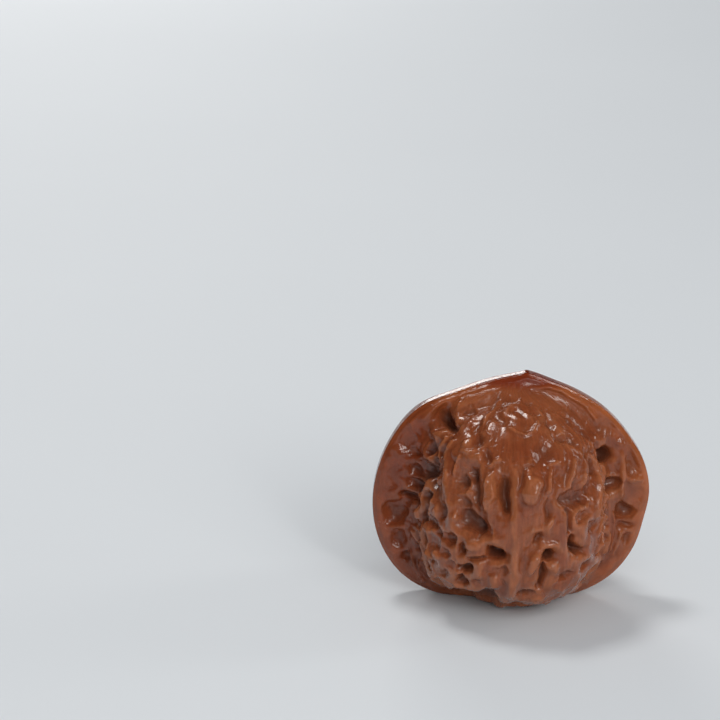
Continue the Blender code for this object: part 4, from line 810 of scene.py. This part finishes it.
def vein(p, size, seed):
    """Winding raised lines, one on a line and zero between."""
    return np.clip(1.0 - VEIN_SHARPNESS * np.abs(lumps(p, size, seed)), 0.0, 1.0) ** VEIN_POWER


def drawn_relief(p, facing, warp):
    """Lobes less hollows, and the raised lines, for points that face the front."""
    height = lobe_rise(front_marks(FRONT_LOBES), p + WARP * warp, facing)
    bent = p + HOLLOW_WARP * warp
    height -= hollow_depth(FRONT_HOLLOWS, HOLLOW_REACH, bowl, bent, facing)
    height -= hollow_depth(FRONT_HOLLOWS, SAG_REACH, smooth_step, bent, facing) * SAG
    height -= hollow_depth(FRONT_DENTS, DENT_REACH, smooth_step, bent, facing)
    return height, line_rise(FRONT_LINES, p + LINE_WARP * warp, facing)


def relief(p, facing):
    """Height added to the smooth surface; millimetres, pits below zero."""
    warp = np.stack([lumps(p, WARP_SIZE, seed) for seed in WARP_SEEDS], axis=1)
    bent = p + WARP * warp
    slim = bent * np.array([1.0, 1.0, VEIN_STRETCH])
    drawn = smooth_step(np.abs(facing[:, 1]), *DRAWN_FACING)
    calm = (1.0 - TOP_CALM * smooth_step(p[:, 2], *TOP_LEVELS)) * (1.0 - DRAWN_CALM * drawn)
    height = LUMP_RISE * lumps(p, *LUMP) + KNOB_RISE * lumps(p, *KNOB) * calm
    fine_vein = FINE_VEIN_SHARE * VEIN_RISE * vein(slim, *FINE_VEIN)
    height += calm * (VEIN_RISE * vein(slim, *VEIN) + fine_vein)
    height += FIBRE_RISE * lumps(fibre_place(bent), *FIBRE)
    ridge_side = smooth_step(np.abs(p[:, 0] - RIDGE_X), *RIDGE_SIDE)
    ridge_side *= smooth_step(p[:, 2], *RIDGE_TOP)
    height *= 1.0 - RIDGE_CALM * drawn * ridge_side
    shift = np.stack([lumps(p, SHIFT_SIZE, seed) for seed in SHIFT_SEEDS], axis=1)
    mirror = np.array([1.0, -1.0, 1.0])
    front, front_lines = drawn_relief(p, facing, warp)
    back, back_lines = drawn_relief((p + SHIFT * shift) * mirror, facing * mirror, warp)
    height += front + back - pit_depth(scattered_marks(), bent, facing)
    inset = rim_inset(p[:, 0], p[:, 2])
    height *= smooth_step(inset, *RELIEF_RIM)
    return height + (front_lines + back_lines) * smooth_step(inset, *LINE_RIM)


def starting_mesh(name):
    """A round belly and a flat flange in one piece, roughly in shape."""
    bm = bmesh.new()
    half_height = 0.5 * (BELLY_UP + BELLY_DOWN)
    belly = bmesh.ops.create_icosphere(bm, subdivisions=BELLY_SUBDIVISIONS, radius=1.0)["verts"]
    bmesh.ops.scale(bm, verts=belly, vec=(BELLY_HALF_X, BELLY_HALF_Y, half_height))
    bmesh.ops.translate(bm, verts=belly, vec=(BELLY_X, 0.0, half_height))
    flange = bmesh.ops.create_cone(bm, cap_ends=True, segments=FLANGE_SEGMENTS, radius1=1.0,
                                   radius2=1.0, depth=2.0 * FLANGE_EDGE_HALF)["verts"]
    for vertex in flange:
        x, depth, z = vertex.co.x, vertex.co.z, vertex.co.y
        radius = float(outline_radius(np.array(x), np.array(z + FLANGE_CENTRE_Z)))
        vertex.co = (radius * x, depth, FLANGE_CENTRE_Z + radius * z)
    bmesh.ops.recalc_face_normals(bm, faces=bm.faces)
    mesh = bpy.data.meshes.new(name)
    bm.to_mesh(mesh)
    bm.free()
    return mesh


def even_faces(obj):
    """The mesh made anew in one skin of even faces."""
    remesh = obj.modifiers.new("even faces", 'REMESH')
    remesh.mode = 'VOXEL'
    remesh.voxel_size = FACE_SIZE
    graph = bpy.context.evaluated_depsgraph_get()
    mesh = bpy.data.meshes.new_from_object(obj.evaluated_get(graph))
    obj.modifiers.remove(remesh)
    obj.data = mesh


def ease(p, edges, rounds):
    """Points moved towards the middle of their neighbours."""
    count = np.bincount(edges.ravel(), minlength=len(p))[:, None]
    for _ in range(rounds):
        total = np.zeros_like(p)
        for axis in range(3):
            total[:, axis] = np.bincount(edges[:, 0], p[edges[:, 1], axis], len(p))
            total[:, axis] += np.bincount(edges[:, 1], p[edges[:, 0], axis], len(p))
        p = (1.0 - EASE_SHARE) * p + EASE_SHARE * total / count
    return p


def relax(p, edges, rounds):
    """Points spread evenly over the smooth surface."""
    for _ in range(rounds):
        p = settle(ease(p, edges, 1), RELAX_SETTLE_ROUNDS)
    return p


def store(mesh, name, values):
    """A value for each point, which the material reads."""
    mesh.attributes.new(name, 'FLOAT', 'POINT').data.foreach_set("value", values.astype(np.float32))


def shape_nut(obj, low, high):
    """The relief raised on the smooth nut, then fitted in the box from low to high."""
    mesh = obj.data
    p = np.empty(3 * len(mesh.vertices))
    mesh.vertices.foreach_get("co", p)
    p = settle(p.reshape(-1, 3), SETTLE_ROUNDS)
    edges = np.empty(2 * len(mesh.edges), dtype=int)
    mesh.edges.foreach_get("vertices", edges)
    edges = edges.reshape(-1, 2)
    p = relax(p, edges, RELAX_ROUNDS)
    facing = normals_at(p)
    height = relief(p, facing)
    store(mesh, "height", height)
    store(mesh, "inset", rim_inset(p[:, 0], p[:, 2]))
    store(mesh, "level", p[:, 2])
    store(mesh, "across", p[:, 1])
    store(mesh, "turn", np.arctan2(p[:, 0] - BELLY_X, -p[:, 1]))
    p = p + facing * height[:, None]
    worn = ease(p, edges, WEAR_ROUNDS)
    store(mesh, "cavity", ((p - worn) * facing).sum(axis=1))
    p[:, 2] = np.maximum(p[:, 2] - FOOT_CUT, 0.0)
    p = (p - p.min(axis=0)) / (p.max(axis=0) - p.min(axis=0))
    p = np.array(low) + p * (np.array(high) - np.array(low))
    mesh.vertices.foreach_set("co", p.ravel())
    bm = bmesh.new()
    bm.from_mesh(mesh)
    bmesh.ops.triangulate(bm, faces=bm.faces)
    bm.to_mesh(mesh)
    bm.free()
    mesh.shade_smooth()


class Shader:
    """A Principled material and the nodes that feed it."""

    def __init__(self, name):
        self.material = bpy.data.materials.new(name)
        self.material.use_nodes = True
        self.tree = self.material.node_tree
        self.surface = self.tree.nodes["Principled BSDF"]

    def add(self, kind, settings=None, **inputs):
        node = self.tree.nodes.new(kind)
        for key, value in (settings or {}).items():
            setattr(node, key, value)
        for key, value in inputs.items():
            self.feed(node.inputs[key], value)
        return node

    def feed(self, socket, value):
        if isinstance(value, bpy.types.NodeSocket):
            self.tree.links.new(value, socket)
        else:
            socket.default_value = value

    def maths(self, operation, a, b=0.0):
        node = self.add('ShaderNodeMath', {"operation": operation})
        self.feed(node.inputs[0], a)
        self.feed(node.inputs[1], b)
        return node.outputs[0]

    def span(self, value, low, high, to_low=0.0, to_high=1.0):
        node = self.add('ShaderNodeMapRange', {"interpolation_type": 'SMOOTHSTEP'})
        for key, item in zip(("Value", "From Min", "From Max", "To Min", "To Max"),
                             (value, low, high, to_low, to_high)):
            self.feed(node.inputs[key], item)
        return node.outputs[0]

    def mix(self, share, first, second, blend='MIX'):
        """Two colours mixed; inputs 6 and 7 and output 2 are the ones for colours."""
        node = self.add('ShaderNodeMix', {"data_type": 'RGBA', "blend_type": blend})
        self.feed(node.inputs[0], share)
        self.feed(node.inputs[6], first)
        self.feed(node.inputs[7], second)
        return node.outputs[2]

    def attribute(self, name):
        return self.add('ShaderNodeAttribute', {"attribute_name": name}).outputs["Fac"]

    def noise(self, vector, scale, detail, roughness):
        node = self.add('ShaderNodeTexNoise', Vector=vector, Scale=scale, Detail=detail,
                        Roughness=roughness)
        return node.outputs["Fac"]


def shell_colour(shade, place, blotch, fibre, deep, sunk):
    """Colour of the shell: blotches, crests lightened for wear and with a painted highlight, rim, tip, a
    darker left flange, painted shade in pits and hollows, fibres.
    """
    # Crests are made lighter, partly for their polished wear and partly as a painted highlight.
    crest = shade.span(shade.attribute("cavity"), *CREST_SPAN)
    rim = shade.span(shade.attribute("inset"), *RIM_SPAN)
    tip = shade.span(shade.attribute("level"), *TIP_SPAN)
    # The flange turns darker and redder towards its left side.
    side = shade.add('ShaderNodeSeparateXYZ', Vector=place).outputs["X"]
    flat = shade.span(shade.maths('ABSOLUTE', shade.attribute("across")), *LEFT_FLANGE_FLAT)
    left_flange = shade.maths('MULTIPLY', shade.span(side, *LEFT_FLANGE_SIDE), flat)
    colour = shade.mix(shade.span(blotch, *BLOTCH_SPAN), SHELL_DARK, SHELL_MID)
    for where, share, layer in (
        (crest, CREST_WEAR_AND_HIGHLIGHT_SHARE, SHELL_CREST_WEAR_AND_HIGHLIGHT),
        (rim, RIM_SHARE, SHELL_RIM),
        (tip, TIP_SHARE, SHELL_TIP),
        (left_flange, LEFT_FLANGE_SHARE, SHELL_LEFT_FLANGE),
        (deep, PIT_SHADE_SHARE, SHELL_PIT_PAINTED_SHADE),
        (sunk, SUNK_SHADE_SHARE, SHELL_SUNK_PAINTED_SHADE),
    ):
        colour = shade.mix(shade.maths('MULTIPLY', where, share), colour, layer)
    lines = shade.span(fibre, *FIBRE_SHADE)
    grey = shade.add('ShaderNodeCombineXYZ', X=lines, Y=lines, Z=lines).outputs[0]
    return shade.mix(1.0, colour, grey, 'MULTIPLY')


def shell_bumps(shade, place, fibre):
    """Fibres, specks, wrinkles, creases and the rim's fine lines, too fine for the mesh."""
    edge = shade.maths('COSINE', shade.maths('MULTIPLY', shade.attribute("across"), EDGE_LINES))
    edge = shade.maths('MULTIPLY', edge, shade.span(shade.attribute("inset"), *EDGE_SPAN))
    speck = shade.noise(place, *SPECK_NOISE)
    wrinkle = shade.noise(place, *WRINKLE_NOISE)
    bumps = shade.maths('MULTIPLY', fibre, FIBRE_BUMP)
    for layer, height in ((speck, SPECK_BUMP), (edge, EDGE_BUMP), (wrinkle, WRINKLE_BUMP)):
        bumps = shade.maths('ADD', bumps, shade.maths('MULTIPLY', layer, height))
    crease = shade.maths('SUBTRACT', shade.noise(place, *CREASE_NOISE), NOISE_MIDDLE)
    return shade.maths('ADD', bumps, shade.span(shade.maths('ABSOLUTE', crease), *CREASE_BUMP))


def shell_material():
    shade = Shader("polished walnut shell")
    place = shade.add('ShaderNodeTexCoord').outputs["Object"]
    height = shade.attribute("height")
    fibre_turn = shade.maths('MULTIPLY', shade.attribute("turn"), FIBRE_TURNS)
    fibre_level = shade.maths('MULTIPLY', shade.attribute("level"), FIBRE_LEVELS)
    fibre_place = shade.add('ShaderNodeCombineXYZ', X=fibre_turn, Y=fibre_level, Z=height).outputs[0]
    fibre = shade.noise(fibre_place, *FIBRE_NOISE)
    blotch = shade.noise(place, *BLOTCH_NOISE)
    # deep and sunk darken the pits and hollows with painted shade, and also make them rougher.
    deep = shade.span(height, *DEEP_SPAN)
    sunk = shade.span(shade.attribute("cavity"), *SUNK_SPAN)
    shade.feed(shade.surface.inputs["Base Color"], shell_colour(shade, place, blotch, fibre, deep, sunk))
    rough = shade.span(blotch, *BLOTCH_SPAN, *GLOSS)
    rough = shade.maths('ADD', rough, shade.maths('MULTIPLY', deep, DEEP_ROUGHNESS))
    rough = shade.maths('ADD', rough, shade.maths('MULTIPLY', sunk, SUNK_ROUGHNESS))
    rough = shade.maths('SUBTRACT', rough, shade.span(shade.attribute("inset"), *RIM_POLISH))
    shade.feed(shade.surface.inputs["Roughness"], rough)
    bump = shade.add('ShaderNodeBump', Strength=BUMP_STRENGTH, Distance=BUMP_DISTANCE,
                     Height=shell_bumps(shade, place, fibre))
    shade.feed(shade.surface.inputs["Normal"], bump.outputs[0])
    for name, value in SHELL_FINISH.items():
        shade.surface.inputs[name].default_value = value
    return shade.material


def floor_material():
    shade = Shader("pale floor")
    place = shade.add('ShaderNodeTexCoord').outputs["Object"]
    cloud = shade.noise(place, *FLOOR_NOISE)
    shade.feed(shade.surface.inputs["Base Color"], shade.mix(cloud, FLOOR_DARK, FLOOR_LIGHT))
    shade.surface.inputs["Roughness"].default_value = FLOOR_ROUGHNESS
    return shade.material


def add_floor():
    bm = bmesh.new()
    bmesh.ops.create_circle(bm, cap_ends=True, segments=FLOOR_SEGMENTS, radius=FLOOR_RADIUS)
    mesh = bpy.data.meshes.new("floor")
    bm.to_mesh(mesh)
    bm.free()
    floor = bpy.data.objects.new("floor", mesh)
    bpy.context.scene.collection.objects.link(floor)
    mesh.materials.append(floor_material())


def add_camera():
    """From the front and a little above, with the nut right of the middle."""
    angle = math.radians(VIEW_DOWN)
    forward = Vector((0.0, math.cos(angle), -math.sin(angle)))
    right = Vector((1.0, 0.0, 0.0))
    up = right.cross(forward)
    anchor = Vector((0.0, 0.0, ANCHOR_Z * MM))
    shift_right = (ANCHOR_PIXEL[0] - AXIS_PIXEL[0]) / PIXELS_PER_MM * MM
    shift_down = (ANCHOR_PIXEL[1] - AXIS_PIXEL[1]) / PIXELS_PER_MM * MM
    place = anchor - forward * VIEW_DISTANCE * MM - right * shift_right + up * shift_down
    camera = bpy.data.cameras.new("camera")
    camera.sensor_width = SENSOR_WIDTH
    camera.lens = SENSOR_WIDTH * PIXELS_PER_MM * VIEW_DISTANCE / FRAME_PIXELS
    camera.clip_start = CLIP_START
    obj = bpy.data.objects.new("camera", camera)
    tilt = math.atan2(AXIS_PIXEL[1] - FRAME_PIXELS / 2, PIXELS_PER_MM * VIEW_DISTANCE)
    obj.location = place
    obj.rotation_euler = (math.radians(90.0) - angle + tilt, 0.0, 0.0)
    bpy.context.scene.collection.objects.link(obj)
    bpy.context.scene.camera = obj


def add_light(name, place, size, power, colour, mirrored):
    light = bpy.data.lights.new(name, 'AREA')
    light.shape = 'RECTANGLE'
    light.size, light.size_y = size
    light.energy = power
    light.color = colour
    obj = bpy.data.objects.new(name, light)
    obj.location = place
    obj.rotation_euler = (Vector(place) - Vector(LIGHT_TARGET)).to_track_quat('Z', 'Y').to_euler()
    obj.visible_glossy = mirrored
    bpy.context.scene.collection.objects.link(obj)


def add_surroundings():
    world = bpy.data.worlds.new("studio")
    world.use_nodes = True
    background = world.node_tree.nodes["Background"]
    background.inputs["Color"].default_value = ROOM_COLOUR
    background.inputs["Strength"].default_value = ROOM_STRENGTH
    bpy.context.scene.world = world
    world.cycles_visibility.glossy = False
    for light in LIGHTS:
        add_light(*light)
    bpy.context.scene.view_settings.view_transform = 'Standard'


cad_low, cad_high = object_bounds()
walnut = bpy.data.objects.new("walnut_shell", starting_mesh("walnut_shell"))
bpy.context.scene.collection.objects.link(walnut)
even_faces(walnut)
shape_nut(walnut, cad_low, cad_high)
walnut.data.materials.append(shell_material())
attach(walnut, "root")
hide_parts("walnut")
add_floor()
add_camera()
add_surroundings()
